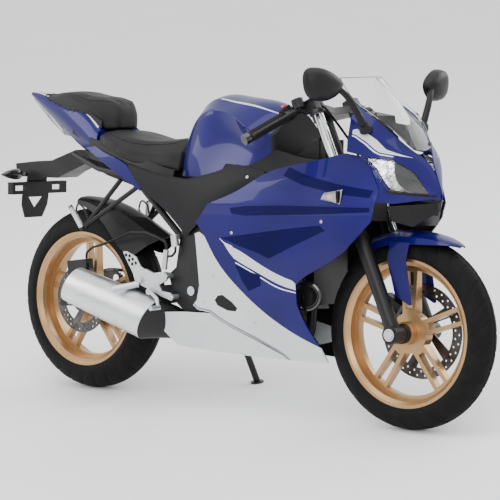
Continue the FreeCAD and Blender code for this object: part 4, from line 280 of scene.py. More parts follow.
def quads(rows, columns, offset=0, closed=False):
    last = columns if closed else columns - 1
    return [(offset + r * columns + c, offset + r * columns + (c + 1) % columns,
             offset + (r + 1) * columns + (c + 1) % columns, offset + (r + 1) * columns + c)
            for r in range(rows - 1) for c in range(last)]


def thick(grid, wall):
    """Vertices and faces of the shell behind a grid."""
    rows, columns = grid.shape[:2]
    inner = pushed(grid, -wall)
    count = rows * columns
    points = [tuple(point) for point in np.concatenate((grid.reshape(-1, 3), inner.reshape(-1, 3)))]
    faces = quads(rows, columns) + [face[::-1] for face in quads(rows, columns, count)]
    rim = [c for c in range(columns)] + [r * columns + columns - 1 for r in range(1, rows)]
    rim += [(rows - 1) * columns + c for c in range(columns - 2, -1, -1)]
    rim += [r * columns for r in range(rows - 2, 0, -1)]
    for first, second in zip(rim, rim[1:] + rim[:1]):
        faces.append((first, second, second + count, first + count))
    return points, faces


def shade(mesh, sharp):
    """Smooth shading with hard edges above an angle in degrees."""
    with edited(mesh) as shape:
        for face in shape.faces:
            face.smooth = True
        for edge in shape.edges:
            edge.smooth = len(edge.link_faces) == 2 and edge.calc_face_angle(0) < math.radians(sharp)


def dressed(item, coat, body="chassis", node="", slot="", sharp=32):
    """Gives a piece its finish, its body and its smooth shading. It may stand for a CAD node."""
    item.data.materials.clear()
    item.data.materials.append(coat)
    shade(item.data, sharp)
    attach(item, body)
    slot or SLOTS[coat.name]
    if node:
        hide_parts(node)
    return item


def raw(name, points, faces):
    """A plain mesh object that isn't part of the bike yet."""
    mesh = bpy.data.meshes.new(name)
    mesh.from_pydata([tuple(point) for point in points], [], [tuple(face) for face in faces])
    with edited(mesh) as shape:
        bmesh.ops.remove_doubles(shape, verts=shape.verts, dist=WELD)
        bmesh.ops.recalc_face_normals(shape, faces=shape.faces)
    return shown(name, mesh)


def settle(item, name, coat, place=PARK, **facts):
    """Moves a mesh from the place's layout to its place and makes it a piece."""
    item.name = name
    item.data.name = name
    item.data.transform(place)
    return dressed(item, coat, **facts)


def piece(name, points, faces, coat, place=PARK, **facts):
    """A new piece of the bike from points in the place's own layout."""
    return settle(raw(name, points, faces), name, coat, place, **facts)


def mirrored(item):
    twin = item.copy()
    twin.data = item.data.copy()
    bpy.context.scene.collection.objects.link(twin)
    twin.data.transform(Matrix.Scale(-1, 4, (0, 1, 0)))
    twin.data.flip_normals()
    return twin


def both_sides(item, name, coat, sharp=32, node=""):
    """A right side mesh and its left twin as two pieces, each for the node of its side."""
    for one, side in ((item, "right"), (mirrored(item), "left")):
        settle(one, f"{name}_{side}", coat, sharp=sharp, node=f"{node}_{side}" if node else "")


def whole(item, name, coat, **facts):
    """A right side mesh and its left twin as one piece."""
    shape = bmesh.new()
    for half in (item, mirrored(item)):
        shape.from_mesh(half.data)
        bpy.data.objects.remove(half)
    mesh = bpy.data.meshes.new(name)
    shape.to_mesh(mesh)
    shape.free()
    settle(shown(name, mesh), name, coat, **facts)


def applied(item):
    """Turns a piece's modifiers into its mesh."""
    bpy.context.view_layer.update()
    made = bpy.data.meshes.new_from_object(item.evaluated_get(bpy.context.evaluated_depsgraph_get()))
    item.modifiers.clear()
    item.data = made


def carved(item, cutter, operation="INTERSECT"):
    """A boolean with a cutter that is used up."""
    step = item.modifiers.new("carve", "BOOLEAN")
    step.operation = operation
    step.solver = "EXACT"
    step.object = cutter
    applied(item)
    bpy.data.objects.remove(cutter)
    return item


def rounded(outline, turn=16, per=5):
    """A closed outline whose gentle corners become curves."""
    points = [np.array(point, float) for point in outline]
    count = len(points)

    def is_sharp(index):
        before = points[index] - points[index - 1]
        after = points[(index + 1) % count] - points[index]
        cosine = before @ after / (np.linalg.norm(before) * np.linalg.norm(after) + 1e-12)
        return math.degrees(math.acos(max(-1, min(1, cosine)))) > turn

    corners = [index for index in range(count) if is_sharp(index)]
    if not corners:
        return [tuple(point) for point in points]
    made = []
    for first, last in zip(corners, corners[1:] + [corners[0] + count]):
        run = [points[index % count] for index in range(first, last + 1)]
        run3 = np.array([(point[0], 0, point[1]) for point in run])
        curve = refine(run3, per) if len(run) > 2 else run3
        made += [(point[0], point[2]) for point in curve[:-1]]
    return made


def prism(outline, low, high, axis="Y"):
    """A block from an outline: side view (x, z) run across, or top view (x, y) run up."""
    count = len(outline)
    if axis == "Y":
        points = [(x, depth, z) for depth in (low, high) for x, z in outline]
    else:
        points = [(x, y, depth) for depth in (low, high) for x, y in outline]
    faces = [tuple(range(count)), tuple(range(2 * count - 1, count - 1, -1))]
    faces += [(k, (k + 1) % count, count + (k + 1) % count, count + k) for k in range(count)]
    return raw("cutter", points, faces)


def lathe(profile, segments=48):
    """Points and faces of a profile of (radius, travel) turned about Y."""
    points = []
    for step in range(segments):
        angle = 2 * math.pi * step / segments
        points += [(radius * math.cos(angle), travel, radius * math.sin(angle)) for radius, travel in profile]
    count = len(profile)
    faces = []
    for row in range(segments):
        here, after = row * count, (row + 1) % segments * count
        faces += [(here + p, here + p + 1, after + p + 1, after + p) for p in range(count - 1)]
    return points, faces


def screw_head(radius=0.005, height=0.003):
    """A round head with a hexagon socket."""
    profile = [(0.0, -0.001), (radius, -0.001), (radius, height * 0.6), (radius * 0.85, height),
               (radius * 0.5, height), (radius * 0.45, height * 0.35), (0.0, height * 0.35)]
    return lathe(profile, 18)


def hex_nut(radius, height):
    profile = [(0.0, 0.0), (radius, 0.0), (radius, height * 0.8), (radius * 0.86, height), (0.0, height)]
    return lathe(profile, 6)


def ring(radius, tube_radius, segments=32, around=8, offset=0.0):
    profile = [(radius + tube_radius * math.cos(2 * math.pi * k / around),
                offset + tube_radius * math.sin(2 * math.pi * k / around)) for k in range(around + 1)]
    return lathe(profile, segments)


def sphere(radius, rings=8, segments=14):
    profile = [(max(radius * math.sin(math.pi * k / rings), 0.0), -radius * math.cos(math.pi * k / rings))
               for k in range(rings + 1)]
    return lathe(profile, segments)


def tube(points, radius, sides=10, taper=None):
    """A round tube along a smooth curve through the points."""
    path = refine(points, 8) if len(points) > 2 else np.array(points, float)
    end = len(path) - 1
    made = []
    for index, point in enumerate(path):
        ahead = Vector(path[min(index + 1, end)] - path[max(index - 1, 0)]).normalized()
        steep = abs(ahead.z) >= 0.98
        side = ahead.cross(Vector((1, 0, 0) if steep else (0, 0, 1))).normalized()
        over = side.cross(ahead)
        size = radius if taper is None else radius + (taper - radius) * index / end
        for step in range(sides):
            angle = 2 * math.pi * step / sides
            made.append(tuple(Vector(point) + (side * math.cos(angle) + over * math.sin(angle)) * size))
    faces = quads(len(path), sides, 0, True)
    faces += [tuple(range(sides - 1, -1, -1)), tuple(range(len(made) - sides, len(made)))]
    return made, faces


def slab(wide, deep, tall, corner):
    """A box with rounded upright corners and chamfered ends, from z = 0 up."""
    outline = []
    for across, along, first in ((1, 1, 0), (-1, 1, 90), (-1, -1, 180), (1, -1, 270)):
        for step in range(5):
            turn = math.radians(first + 22.5 * step)
            outline.append((across * (wide / 2 - corner) + corner * math.cos(turn),
                            along * (deep / 2 - corner) + corner * math.sin(turn)))
    edge = min(corner, tall) * 0.25
    points = []
    for height, inset in ((0, edge), (edge, 0), (tall - edge, 0), (tall, edge)):
        points += [(x * (1 - 2 * inset / wide), y * (1 - 2 * inset / deep), height) for x, y in outline]
    faces = quads(4, 20, 0, True) + [tuple(range(20)), tuple(range(79, 59, -1))]
    return points, faces


def aimed(start, way):
    """A matrix whose Y runs along way from start."""
    way = Vector(way).normalized()
    return Matrix.Translation(Vector(start)) @ way.to_track_quat("Y", "Z").to_matrix().to_4x4()


def moved(points, matrix):
    return [tuple(matrix @ Vector(point)) for point in points]


class Batch:
    """Gathers small shapes with one finish into one piece."""

    def __init__(self):
        self.points = []
        self.faces = []

    def put(self, shape, matrix=AS_IS):
        points, faces = shape
        offset = len(self.points)
        self.points += moved(points, matrix)
        self.faces += [tuple(index + offset for index in face) for face in faces]
        return self

    def done(self, name, coat, place=PARK, **facts):
        return piece(name, self.points, self.faces, coat, place, **facts)


def soft_copy(name, node, coat, width, angle=35, segments=2):
    """A copy of a CAD node with rounded edges, in the node's place."""
    source = frame["nodes"][node]
    mesh = source.data.copy()
    with edited(mesh) as shape:
        bmesh.ops.remove_doubles(shape, verts=shape.verts, dist=WELD)
        bmesh.ops.dissolve_limit(shape, angle_limit=math.radians(1), verts=shape.verts, edges=shape.edges)
    item = shown(name, mesh)
    dressed(item, coat, source["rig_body"], node, sharp=angle)
    edge = item.modifiers.new("edges", "BEVEL")
    edge.width = width
    edge.segments = segments
    edge.limit_method = "ANGLE"
    edge.angle_limit = math.radians(angle)
    even = item.modifiers.new("even", "WEIGHTED_NORMAL")
    even.keep_sharp = True


def coated(node, coat):
    """A CAD node that stays, with a better finish."""
    item = frame["nodes"][node]
    item.data.materials.clear()
    item.data.materials.append(coat)
    for polygon in item.data.polygons:
        polygon.material_index = 0


# Painted panels: cross sections as (x, ((out, up), ...)), and side outlines as (x, up)

NOSE_ROWS = mm((
    (1225, ((565, 986), (750, 948), (825, 883), (840, 845), (860, 760), (860, 700))),
    (1285, ((540, 946), (680, 905), (770, 862), (815, 832), (830, 750), (800, 696))),
    (1345, ((380, 892), (520, 868), (600, 848), (640, 824), (700, 736), (680, 692))),
    (1385, ((240, 853), (360, 842), (440, 828), (480, 808), (480, 730), (440, 698))),
    (1420, ((60, 815), (160, 806), (240, 790), (280, 772), (240, 722), (220, 704))),
    (1460, ((10, 728), (20, 724), (30, 720), (35, 716), (30, 712), (20, 706))),
))
NOSE_CUT = mm(((1215, 1000), (1224, 847), (1274, 839), (1314, 802), (1349, 740), (1347, 696), (1420, 690),
               (1480, 690), (1480, 900), (1300, 1020)))
LAMP_CUT = mm(((1278, 836), (1364, 824), (1410, 788), (1436, 719), (1377, 729), (1351, 737), (1316, 800)))
SIDE_ROWS = mm((
    (420, ((800, 760), (820, 715), (840, 665), (830, 630), (830, 540), (830, 410), (820, 310), (700, 200))),
    (620, ((880, 760), (910, 715), (950, 665), (920, 630), (880, 540), (860, 415), (850, 315), (600, 190))),
    (760, ((920, 765), (970, 720), (1010, 670), (970, 635), (940, 530), (900, 410), (830, 300), (540, 185))),
    (910, ((920, 775), (1000, 735), (1045, 676), (1000, 640), (970, 530), (890, 405), (740, 295),
           (450, 183))),
    (1020, ((900, 800), (1000, 760), (1055, 680), (1010, 645), (980, 535), (870, 405), (660, 290),
            (380, 182))),
    (1120, ((830, 825), (980, 765), (1060, 683), (1020, 650), (980, 545), (850, 415), (600, 300),
            (340, 185))),
    (1240, ((750, 850), (940, 765), (1060, 685), (1020, 655), (980, 560), (840, 440), (600, 320),
            (340, 190))),
    (1360, ((660, 850), (770, 740), (900, 687), (870, 660), (860, 580), (780, 460), (600, 340), (340, 195))),
))
BLUE_CUT = mm(((626, 605), (690, 668), (843, 728), (909, 766), (990, 793), (1084, 812), (1208, 842),
               (1270, 834), (1310, 797), (1343, 737), (1341, 690), (1331, 641), (1188, 513), (1075, 457),
               (1040, 430), (1032, 369), (1050, 292), (1074, 233), (1020, 259), (923, 319), (815, 401),
               (708, 498), (663, 562)))
WHITE_CUT = mm(((619, 568), (640, 574), (663, 562), (708, 498), (815, 401), (923, 319), (1020, 259),
                (1074, 233), (1086, 180), (1080, 160), (964, 160), (923, 200), (845, 240), (757, 279),
                (679, 320), (629, 324), (607, 338), (624, 355), (636, 403), (627, 483)))
HOLE_CUT = mm(((702, 360), (716, 376), (738, 380), (776, 360), (796, 341), (788, 330), (754, 331),
               (714, 344)))
TANK_ROWS = mm((
    (485, ((0, 880), (200, 872), (360, 850), (420, 800), (460, 745))),
    (535, ((0, 965), (280, 950), (460, 915), (520, 830), (540, 745))),
    (600, ((0, 1008), (340, 994), (580, 952), (560, 850), (580, 750))),
    (690, ((0, 1006), (380, 990), (660, 957), (580, 860), (640, 775))),
    (780, ((0, 997), (380, 978), (760, 928), (640, 850), (700, 790))),
    (840, ((0, 985), (340, 962), (780, 898), (680, 835), (700, 786))),
    (885, ((0, 970), (280, 948), (600, 890), (600, 835), (620, 780))),
))
COVER_ROWS = mm((
    (270, ((620, 800), (700, 775), (720, 740), (700, 700), (680, 660))),
    (400, ((640, 775), (720, 750), (740, 710), (720, 650), (710, 600))),
    (550, ((640, 755), (740, 735), (770, 680), (750, 600), (720, 530))),
    (680, ((700, 780), (780, 755), (840, 700), (820, 640), (780, 560))),
    (790, ((740, 805), (820, 780), (880, 740), (860, 690), (840, 640))),
    (905, ((760, 800), (820, 785), (860, 760), (860, 740), (840, 700))),
))
COVER_CUT = mm(((276, 781), (394, 755), (549, 738), (682, 768), (771, 793), (900, 776), (903, 768),
                (843, 732), (688, 671), (625, 612), (551, 554), (453, 637), (345, 705)))
TAIL_ROWS = mm((
    (-304, ((0, 1006), (50, 1006), (80, 1001), (70, 996), (50, 992), (0, 992))),
    (-235, ((0, 1000), (140, 999), (190, 984), (180, 970), (130, 952), (0, 948))),
    (-107, ((0, 972), (290, 974), (350, 952), (340, 925), (270, 885), (0, 872))),
    (14, ((0, 942), (400, 952), (450, 930), (460, 860), (380, 820), (0, 808))),
    (110, ((0, 868), (460, 886), (520, 878), (530, 802), (400, 786), (0, 780))),
))
STRIP_CUT = mm(((60, 826), (112, 830), (160, 812), (250, 785), (272, 776), (342, 702), (336, 691), (290, 714),
                (188, 762)))
STRIP_ROWS = mm((
    (40, ((560, 860), (570, 800), (560, 680))),
    (112, ((570, 850), (600, 800), (590, 680))),
    (200, ((640, 850), (660, 780), (640, 680))),
    (350, ((680, 850), (700, 740), (680, 680))),
))
WALL, LINER, FILM = 0.004, 0.0012, 0.0008
DECAL = 0.0004
OUTSIDE, OVERRUN = -0.4, 0.0005
FOLDS, LOW_FOLDS = [1, 2, 3], [1, 2, 3, 6]
LINER_GAP = 0.0003
BAND_LOW, BAND_HIGH = 0.8, 1.05


def cut_skin(rows, creases, outline, wall=WALL, lift=0.0, smooth=True):
    """A right side skin cut to an outline."""
    grid = surface(rows, creases)
    if lift:
        grid = pushed(grid, lift)
    shape = raw("skin", *thick(grid, wall))
    return carved(shape, prism(rounded(outline) if smooth else outline, OUTSIDE, OVERRUN))


def hull(rows, creases):
    """A closed body from half cross sections that start on the middle."""
    rows = [(x, tuple((-out, up) for out, up in line[:0:-1]) + line) for x, line in rows]
    middle = len(rows[0][1]) // 2
    both = [middle - crease for crease in creases] + [middle + crease for crease in creases]
    grid = surface(rows, both, 7, 5)
    lines, columns = grid.shape[:2]
    faces = quads(lines, columns, 0, True)
    faces += [tuple(range(columns)), tuple(range(lines * columns - 1, (lines - 1) * columns - 1, -1))]
    return raw("hull", grid.reshape(-1, 3), faces)


def make_panels():
    both_sides(cut_skin(SIDE_ROWS, FOLDS, BLUE_CUT), "side_panel", BLUE, 30, "side_fairing")
    lower = cut_skin(SIDE_ROWS, LOW_FOLDS, WHITE_CUT)
    carved(lower, prism(HOLE_CUT, OUTSIDE, 0.0), "DIFFERENCE")
    both_sides(lower, "lower_panel", WHITE, 30, "lower_fairing")
    nose = cut_skin(NOSE_ROWS, FOLDS, NOSE_CUT)
    carved(nose, prism(rounded(LAMP_CUT), OUTSIDE, 0.0), "DIFFERENCE")
    whole(nose, "nose_panel", BLUE, sharp=30, node="nose_cowl")
    both_sides(cut_skin(COVER_ROWS, [1], COVER_CUT), "spar_cover", COVER, 30, "frame_cover")
    settle(hull(TANK_ROWS, [1, 2]), "tank_shell", BLUE, sharp=30, node="fuel_tank")
    settle(hull(TAIL_ROWS, [1, 2, 4]), "tail_shell", BLUE, sharp=30, node="tail_cowl")
    for name, outline in (("side_liner", BLUE_CUT), ("lower_liner", WHITE_CUT)):
        both_sides(cut_skin(SIDE_ROWS, FOLDS, outline, LINER, -WALL - LINER_GAP), name, PLASTIC)
    whole(cut_skin(STRIP_ROWS, [], STRIP_CUT), "tail_bands", BLUE, sharp=30, node="tail_strips")


# Stripes, seams and painted shade: outlines of thin films on the panels, seen from the side; the dark blue
# and grey films are painted shade. Those of tank and tail are seen from above, as (x, millimetres to the
# right).

SIDE_BAND = mm(((753, 544), (815, 527), (888, 495), (972, 461), (1030, 444), (1040, 436), (1038, 416),
                (999, 423), (895, 460), (815, 491), (795, 500), (769, 524)))
SIDE_LINE = mm(((802, 488), (895, 452), (973, 420), (1037, 409), (1037, 406), (973, 416), (895, 448),
                (800, 485)))
UPPER_LINE = mm(((733, 560), (753, 548), (790, 538), (790, 535), (752, 545), (735, 557)))
NOSE_BAND = mm(((1238, 913), (1249, 916), (1282, 903), (1310, 883), (1337, 857), (1353, 850), (1396, 832),
                (1362, 840), (1324, 848), (1312, 856), (1283, 879), (1249, 899), (1238, 901)))
NOSE_LINE = mm(((1238, 897), (1249, 895), (1283, 874), (1312, 851), (1326, 843), (1360, 836), (1360, 834),
                (1325, 840), (1310, 848), (1281, 871), (1247, 892), (1238, 894)))
# The next four outlines are dark blue films of painted shade: the slot below the side crease, the scoop, the
# flank and the upper facet.
SLOT_PAINTED_SHADE = mm(((785, 658), (790, 640), (850, 637), (1000, 646), (1180, 658), (1330, 670), (1330, 683),
                (1200, 681), (1000, 676), (860, 668)))
SCOOP_PAINTED_SHADE = mm(((738, 562), (860, 580), (1000, 602), (1150, 622), (1172, 607), (1060, 560), (942, 508),
                 (900, 522), (820, 540)))
FLANK_PAINTED_SHADE = mm(((800, 480), (860, 462), (905, 452), (900, 420), (850, 400), (826, 430)))
UPPER_PAINTED_SHADE = mm(((1014, 794), (1090, 772), (1200, 752), (1330, 734), (1325, 712), (1200, 722), (1080, 742),
                 (1000, 768)))
# The grey film along the lower panel's bottom edge is painted shade in the joint.
SEAM_PAINTED_SHADE = mm(((612, 344), (632, 332), (682, 328), (760, 288), (848, 249), (926, 207), (962, 170),
                (958, 164), (918, 202), (843, 243), (756, 283), (679, 323), (630, 327), (610, 339)))
TANK_BAND = mm(((560, 30), (640, 62), (760, 70), (850, 54), (882, 46), (882, 56), (850, 67), (760, 82),
                (640, 75), (550, 42)))
TAIL_BAND = mm(((-300, 4), (-230, 20), (-110, 50), (20, 68), (100, 80), (100, 95), (10, 82), (-110, 62),
                (-230, 29), (-300, 10)))


def make_stripes():
    # The dark blue films and the grey seam film are painted shade.
    for name, outline, coat in (("side_band", SIDE_BAND, WHITE), ("side_line", SIDE_LINE, PALE),
                                ("upper_line", UPPER_LINE, PALE), ("seam_painted_shade", SEAM_PAINTED_SHADE, PAINTED_SEAM_SHADE),
                                ("slot_painted_shade", SLOT_PAINTED_SHADE, PAINTED_SHADE_BLUE), ("scoop_painted_shade", SCOOP_PAINTED_SHADE, PAINTED_SHADE_BLUE),
                                ("flank_painted_shade", FLANK_PAINTED_SHADE, PAINTED_SHADE_BLUE), ("upper_painted_shade", UPPER_PAINTED_SHADE, PAINTED_SHADE_BLUE),
                                ("nose_band", NOSE_BAND, WHITE), ("nose_line", NOSE_LINE, PALE)):
        rows = NOSE_ROWS if name.startswith("nose_") else SIDE_ROWS
        folds = LOW_FOLDS if name == "seam_painted_shade" else FOLDS
        both_sides(cut_skin(rows, folds, outline, FILM, DECAL, name.startswith("side_")), name, coat)
    for name, rows, outline in (("tank_band", TANK_ROWS, TANK_BAND), ("tail_band", TAIL_ROWS, TAIL_BAND)):
        top = [(x, line[:3]) for x, line in rows]
        right = [(x, -y) for x, y in outline]
        film = raw("film", *thick(pushed(surface(top, [1], 7, 5), DECAL), FILM))
        both_sides(carved(film, prism(rounded(right), BAND_LOW, BAND_HIGH, "Z")), name, WHITE)


# Screen, lamps and mirrors

RAY_START = 0.6


def skin_hit(name, x, z, side=-1):
    """Where a line across the bike, from its right or left, meets a piece, with the normal there."""
    inward = PARK.to_3x3() @ Vector((0, -side, 0))
    hit, point, normal = bpy.data.objects[name].ray_cast(PARK @ Vector((x, side * RAY_START, z)), inward)[:3]
    return (point, normal if normal.dot(inward) < 0 else -normal) if hit else None


def skin_spot(names, x, z):
    """The bike's own place of the outermost point of these right-hand pieces at x and z."""
    hits = [skin_hit(name, x, z) for name in names]
    return min((PARK.inverted() @ hit[0] for hit in hits if hit), key=lambda point: point.y)


CHEEK_EDGE = mm(((1262, 833), (1283, 815), (1303, 796), (1318, 768), (1335, 737), (1335, 713), (1334, 693)))
NOSE_EDGE = mm(((1279, 842), (1299, 824), (1321, 802), (1339, 770), (1356, 740), (1354, 715), (1353, 698)))
CHIN_ROWS = mm((
    (1336, ((930, 696), (620, 702))),
    (1329, ((860, 668), (560, 668))),
    (1320, ((840, 643), (500, 640))),
))
CHIN_STEP = 0.012
CHEEK_SHARES = (0.0, 0.35, 0.7, 1.0)
CHEEK_SUNK = 0.0022
TEETH = ((1.462, 0.704, 0.684), (1.45, 0.664, 0.64))
TOOTH_ROOT, TOOTH_CURVE, TOOTH_RISE, TOOTH_TIP = 1.395, 0.9, 0.002, (0.004, 0.006)
TOOTH_OUTS = (-0.22, -0.12, 0.0, 0.12, 0.22)


def make_cheeks():
    """The blue turned-in edge from each side panel to the nose, and the black wall and teeth below it."""
    outer = [skin_spot(("side_panel_right",), x, z) for x, z in CHEEK_EDGE]
    inner = [skin_spot(("nose_panel", "lamp_lenses"), x, z) for x, z in NOSE_EDGE]
    grid = refine([[first.lerp(last, share) for share in CHEEK_SHARES]
                   for first, last in zip(outer, inner)], 4)
    both_sides(raw("cheek", *thick(pushed(grid, -CHEEK_SUNK), SHEET)), "cheek", BLUE)
    wall = [[spot(x + CHIN_STEP * number, out, up) for number, (out, up) in enumerate(line)]
            for x, line in CHIN_ROWS]
    both_sides(raw("wall", *thick(refine(wall, 4), SHEET)), "chin_wall", PLASTIC)
    teeth = Batch()
    for tip, top, low in TEETH:
        line = []
        for out in TOOTH_OUTS:
            reach = tip - TOOTH_CURVE * out ** 2
            line += [spot(TOOTH_ROOT, out, top + TOOTH_RISE), spot(reach, out, top),
                     spot(reach - TOOTH_TIP[0], out, top - TOOTH_TIP[1]), spot(TOOTH_ROOT, out, low)]
        teeth.put((line, quads(len(TOOTH_OUTS), 4, 0, True) + [(3, 2, 1, 0), (16, 17, 18, 19)]))
    teeth.done("chin_teeth", PLASTIC)


SCREEN_ROWS = mm((((1392, 0, 854), (1380, 250, 863)), ((1340, 0, 923), (1290, 530, 953)),
                  ((1275, 0, 1002), (1213, 575, 1002)), ((1214, 0, 1073), (1134, 455, 1069))))
SCREEN_BOW = ((1.0, 0.0), (0.75, 0.42), (0.4, 0.82), (0.0, 1.0))
PANE, FOOT_SUNK, FOOT_WALL = 0.0028, 0.0045, 0.001
SIDE_EDGE, TOP_EDGE = 0.0013, 0.0011


def screen_grid():
    lines = []
    for middle, edge in SCREEN_ROWS:
        centre, side = spot(*middle), spot(*edge)
        line = []
        for out, bow in SCREEN_BOW:
            ahead = side + (centre - side) * bow
            line.append((ahead[0], side[1] * out, ahead[2]))
        line += [(x, -y, z) for x, y, z in line[-2::-1]]
        lines.append(refine(line, 6))
    return refine(lines, 8)


def make_screen():
    """A clear pane with dark edges, and the black strip along its foot."""
    grid = screen_grid()
    settle(raw("screen", *thick(grid, PANE)), "screen_pane", CLEAR, node="windscreen", slot="clear_screen",
           sharp=60)
    for name, line, radius in (("right", grid[::8, 0], SIDE_EDGE), ("left", grid[::8, -1], SIDE_EDGE),
                               ("top", grid[-1, ::6], TOP_EDGE)):
        piece(f"screen_edge_{name}", *tube(line, radius, 8), LENS)
    foot = raw("foot", *thick(pushed(grid[:10, 4:-4], -FOOT_SUNK), FOOT_WALL))
    settle(foot, "screen_base", PLASTIC, sharp=60)


LAMP_MASK = mm(((1362, 822), (1408, 787), (1434, 722), (1392, 728), (1374, 752), (1362, 790)))
LAMP_SILL = mm(((1349, 737), (1377, 729), (1440, 719), (1452, 722), (1452, 713), (1377, 722), (1349, 729)))
LAMP_SKINS = (("lamp_lenses", CLEAR, 0.0025, 0.0, 60, "headlights"),
              ("lamp_housing", REFLECTOR, 0.002, -0.016, 40, ""))
BOWLS = ((1.32, 0.122, 0.795, 0.024), (1.364, 0.084, 0.772, 0.02))
BOWL_DEPTH, BOWL_EDGE = 0.018, 0.0016
BULB_SHARE, BULB_BACK = 0.28, 0.008
MASK, MASK_SUNK, SILL_LIFT = 0.002, 0.009, 0.0006


def make_lamps():
    """Clear lenses let in flush, over chromed bowls in a dark housing."""
    for name, coat, wall, lift, sharp, node in LAMP_SKINS:
        whole(cut_skin(NOSE_ROWS, [], LAMP_CUT, wall, lift), name, coat, sharp=sharp, node=node)
    bowls, rims, bulbs = Batch(), Batch(), Batch()
    for side in (-1, 1):
        for x, out, z, size in BOWLS:
            place = aimed((x, side * out, z), (0.8, side * 0.58, 0.12))
            shares = np.linspace(0.02, 1, 9)
            bowls.put(lathe([(size * share, -BOWL_DEPTH * (1 - share ** 2)) for share in shares], 36), place)
            rims.put(ring(size, BOWL_EDGE, 36, 8), place)
            bulbs.put(sphere(size * BULB_SHARE), place @ at(0, -BULB_BACK, 0))
    bowls.done("lamp_bowls", MIRROR, slot="clear_lens")
    rims.done("lamp_rims", CHROME)
    bulbs.done("lamp_bulbs", SMOKE)
    both_sides(cut_skin(NOSE_ROWS, [], LAMP_MASK, MASK, -MASK_SUNK), "lamp_mask", LENS)
    both_sides(cut_skin(NOSE_ROWS, FOLDS, LAMP_SILL, LINER, SILL_LIFT), "lamp_sill", PLASTIC)


MIRROR_OUTLINE = ((-0.98, -0.1), (-0.8, 0.92), (-0.2, 1.0), (0.55, 0.62), (0.98, 0.02), (0.72, -0.62),
                  (0.1, -1.0), (-0.62, -0.86))
MIRROR_SECTIONS = ((0.027, 0.1), (0.0262, 0.3), (0.024, 0.52), (0.019, 0.72), (0.01, 0.9),
                   (-0.004, 0.985), (-0.015, 0.995), (-0.0165, 0.96))
MIRROR_WIDE, MIRROR_TALL = 0.36 * HALF, 0.05
GLASS_AHEAD, GLASS_SHARE = -0.0172, 0.9
MIRROR_STALK = ((1.243, 1.16, 1.036), (1.254, 1.06, 1.018), (1.264, 0.94, 0.986), (1.276, 0.7, 0.9125))
MIRROR_FOOT = [(0.0, -0.002), (0.021, -0.002), (0.02, 0.008), (0.014, 0.02), (0.0, 0.021)]


def make_mirrors():
    """Rounded heads with a glass face, on stalks that stand on the cowl."""
    count = len(MIRROR_OUTLINE)
    loop = [(out, up, 0) for out, up in MIRROR_OUTLINE + MIRROR_OUTLINE[:3]]
    rim = refine(loop, 6)[6:6 * (count + 1), :2]
    place = at(*spot(1.227, 1.4, 1.049)) @ spin(-11.5, "Z")
    stalk = [spot(*place) for place in MIRROR_STALK]
    foot = aimed(spot(1.276, 0.7, 0.914), (0.1, -0.62, 0.8))

    def loop_at(ahead, size):
        return [(ahead, out * size * MIRROR_WIDE, up * size * MIRROR_TALL) for out, up in rim]

    points = sum((loop_at(ahead, size) for ahead, size in MIRROR_SECTIONS), [])
    count = len(rim)
    faces = quads(len(MIRROR_SECTIONS), count, 0, True)
    faces += [tuple(range(count)), tuple(range(len(points) - 1, len(points) - count - 1, -1))]
    for side, name in SIDES:
        flip = Matrix.Scale(-side, 4, (0, 1, 0))
        head = Batch().put((points, faces), flip @ place).put(tube(stalk, 0.009, 14, 0.0115), flip)
        head.put(lathe(MIRROR_FOOT, 24), flip @ foot)
        head.done(f"mirror_head_{name}", PLASTIC, node=f"mirror_{name}", sharp=40)
        glass = moved(loop_at(GLASS_AHEAD, GLASS_SHARE), flip @ place)
        piece(f"mirror_glass_{name}", glass + [np.array(glass).mean(0)],
              [(k, (k + 1) % count, count) for k in range(count)], MIRROR)


# Seats

VOXEL = 0.005
SHRINK = 0.985
HELD_BELOW = -0.35
CLOTH_STEPS = 14
PRESSURE = 4
SEAM_LIFT, SEAM_RADIUS = 0.0002, 0.0012
SEATS = (
    ("rider_pad", "rider_seat", 0.006,
     mm(((125, 480, 884), (180, 560, 876), (270, 580, 856), (370, 440, 850), (440, 280, 860),
         (462, 120, 868)))),
    ("pillion_pad", "pillion_seat", 0.004,
     mm(((-200, 140, 1014), (-110, 260, 1010), (0, 370, 1000), (80, 360, 990), (128, 240, 980)))),
)


def smoothed(item, factor, iterations):
    even = item.modifiers.new("even", "SMOOTH")
    even.factor = factor
    even.iterations = iterations
    applied(item)


def blown(item, cap):
    """A cloth simulation under pressure, held from below, that moves no point further than cap."""
    start = np.array([vertex.co[:] for vertex in item.data.vertices])
    held = item.vertex_groups.new(name="held")
    up = PARK.to_3x3() @ Vector((0, 0, 1))
    below = [vertex.index for vertex in item.data.vertices if vertex.normal.dot(up) < HELD_BELOW]
    held.add(below, 1.0, "REPLACE")
    cloth = item.modifiers.new("cloth", "CLOTH")
    cloth.settings.use_pressure = True
    cloth.settings.uniform_pressure_force = PRESSURE
    cloth.settings.effector_weights.gravity = 0
    cloth.settings.vertex_group_mass = "held"
    cloth.point_cache.frame_start, cloth.point_cache.frame_end = 1, CLOTH_STEPS
    for step in range(1, CLOTH_STEPS + 1):
        bpy.context.scene.frame_set(step)
    applied(item)
    bpy.context.scene.frame_set(1)
    shift = np.array([vertex.co[:] for vertex in item.data.vertices]) - start
    length = np.linalg.norm(shift, axis=1, keepdims=True) + 1e-9
    for vertex, point in zip(item.data.vertices, start + shift * np.minimum(1, cap / length)):
        vertex.co = point


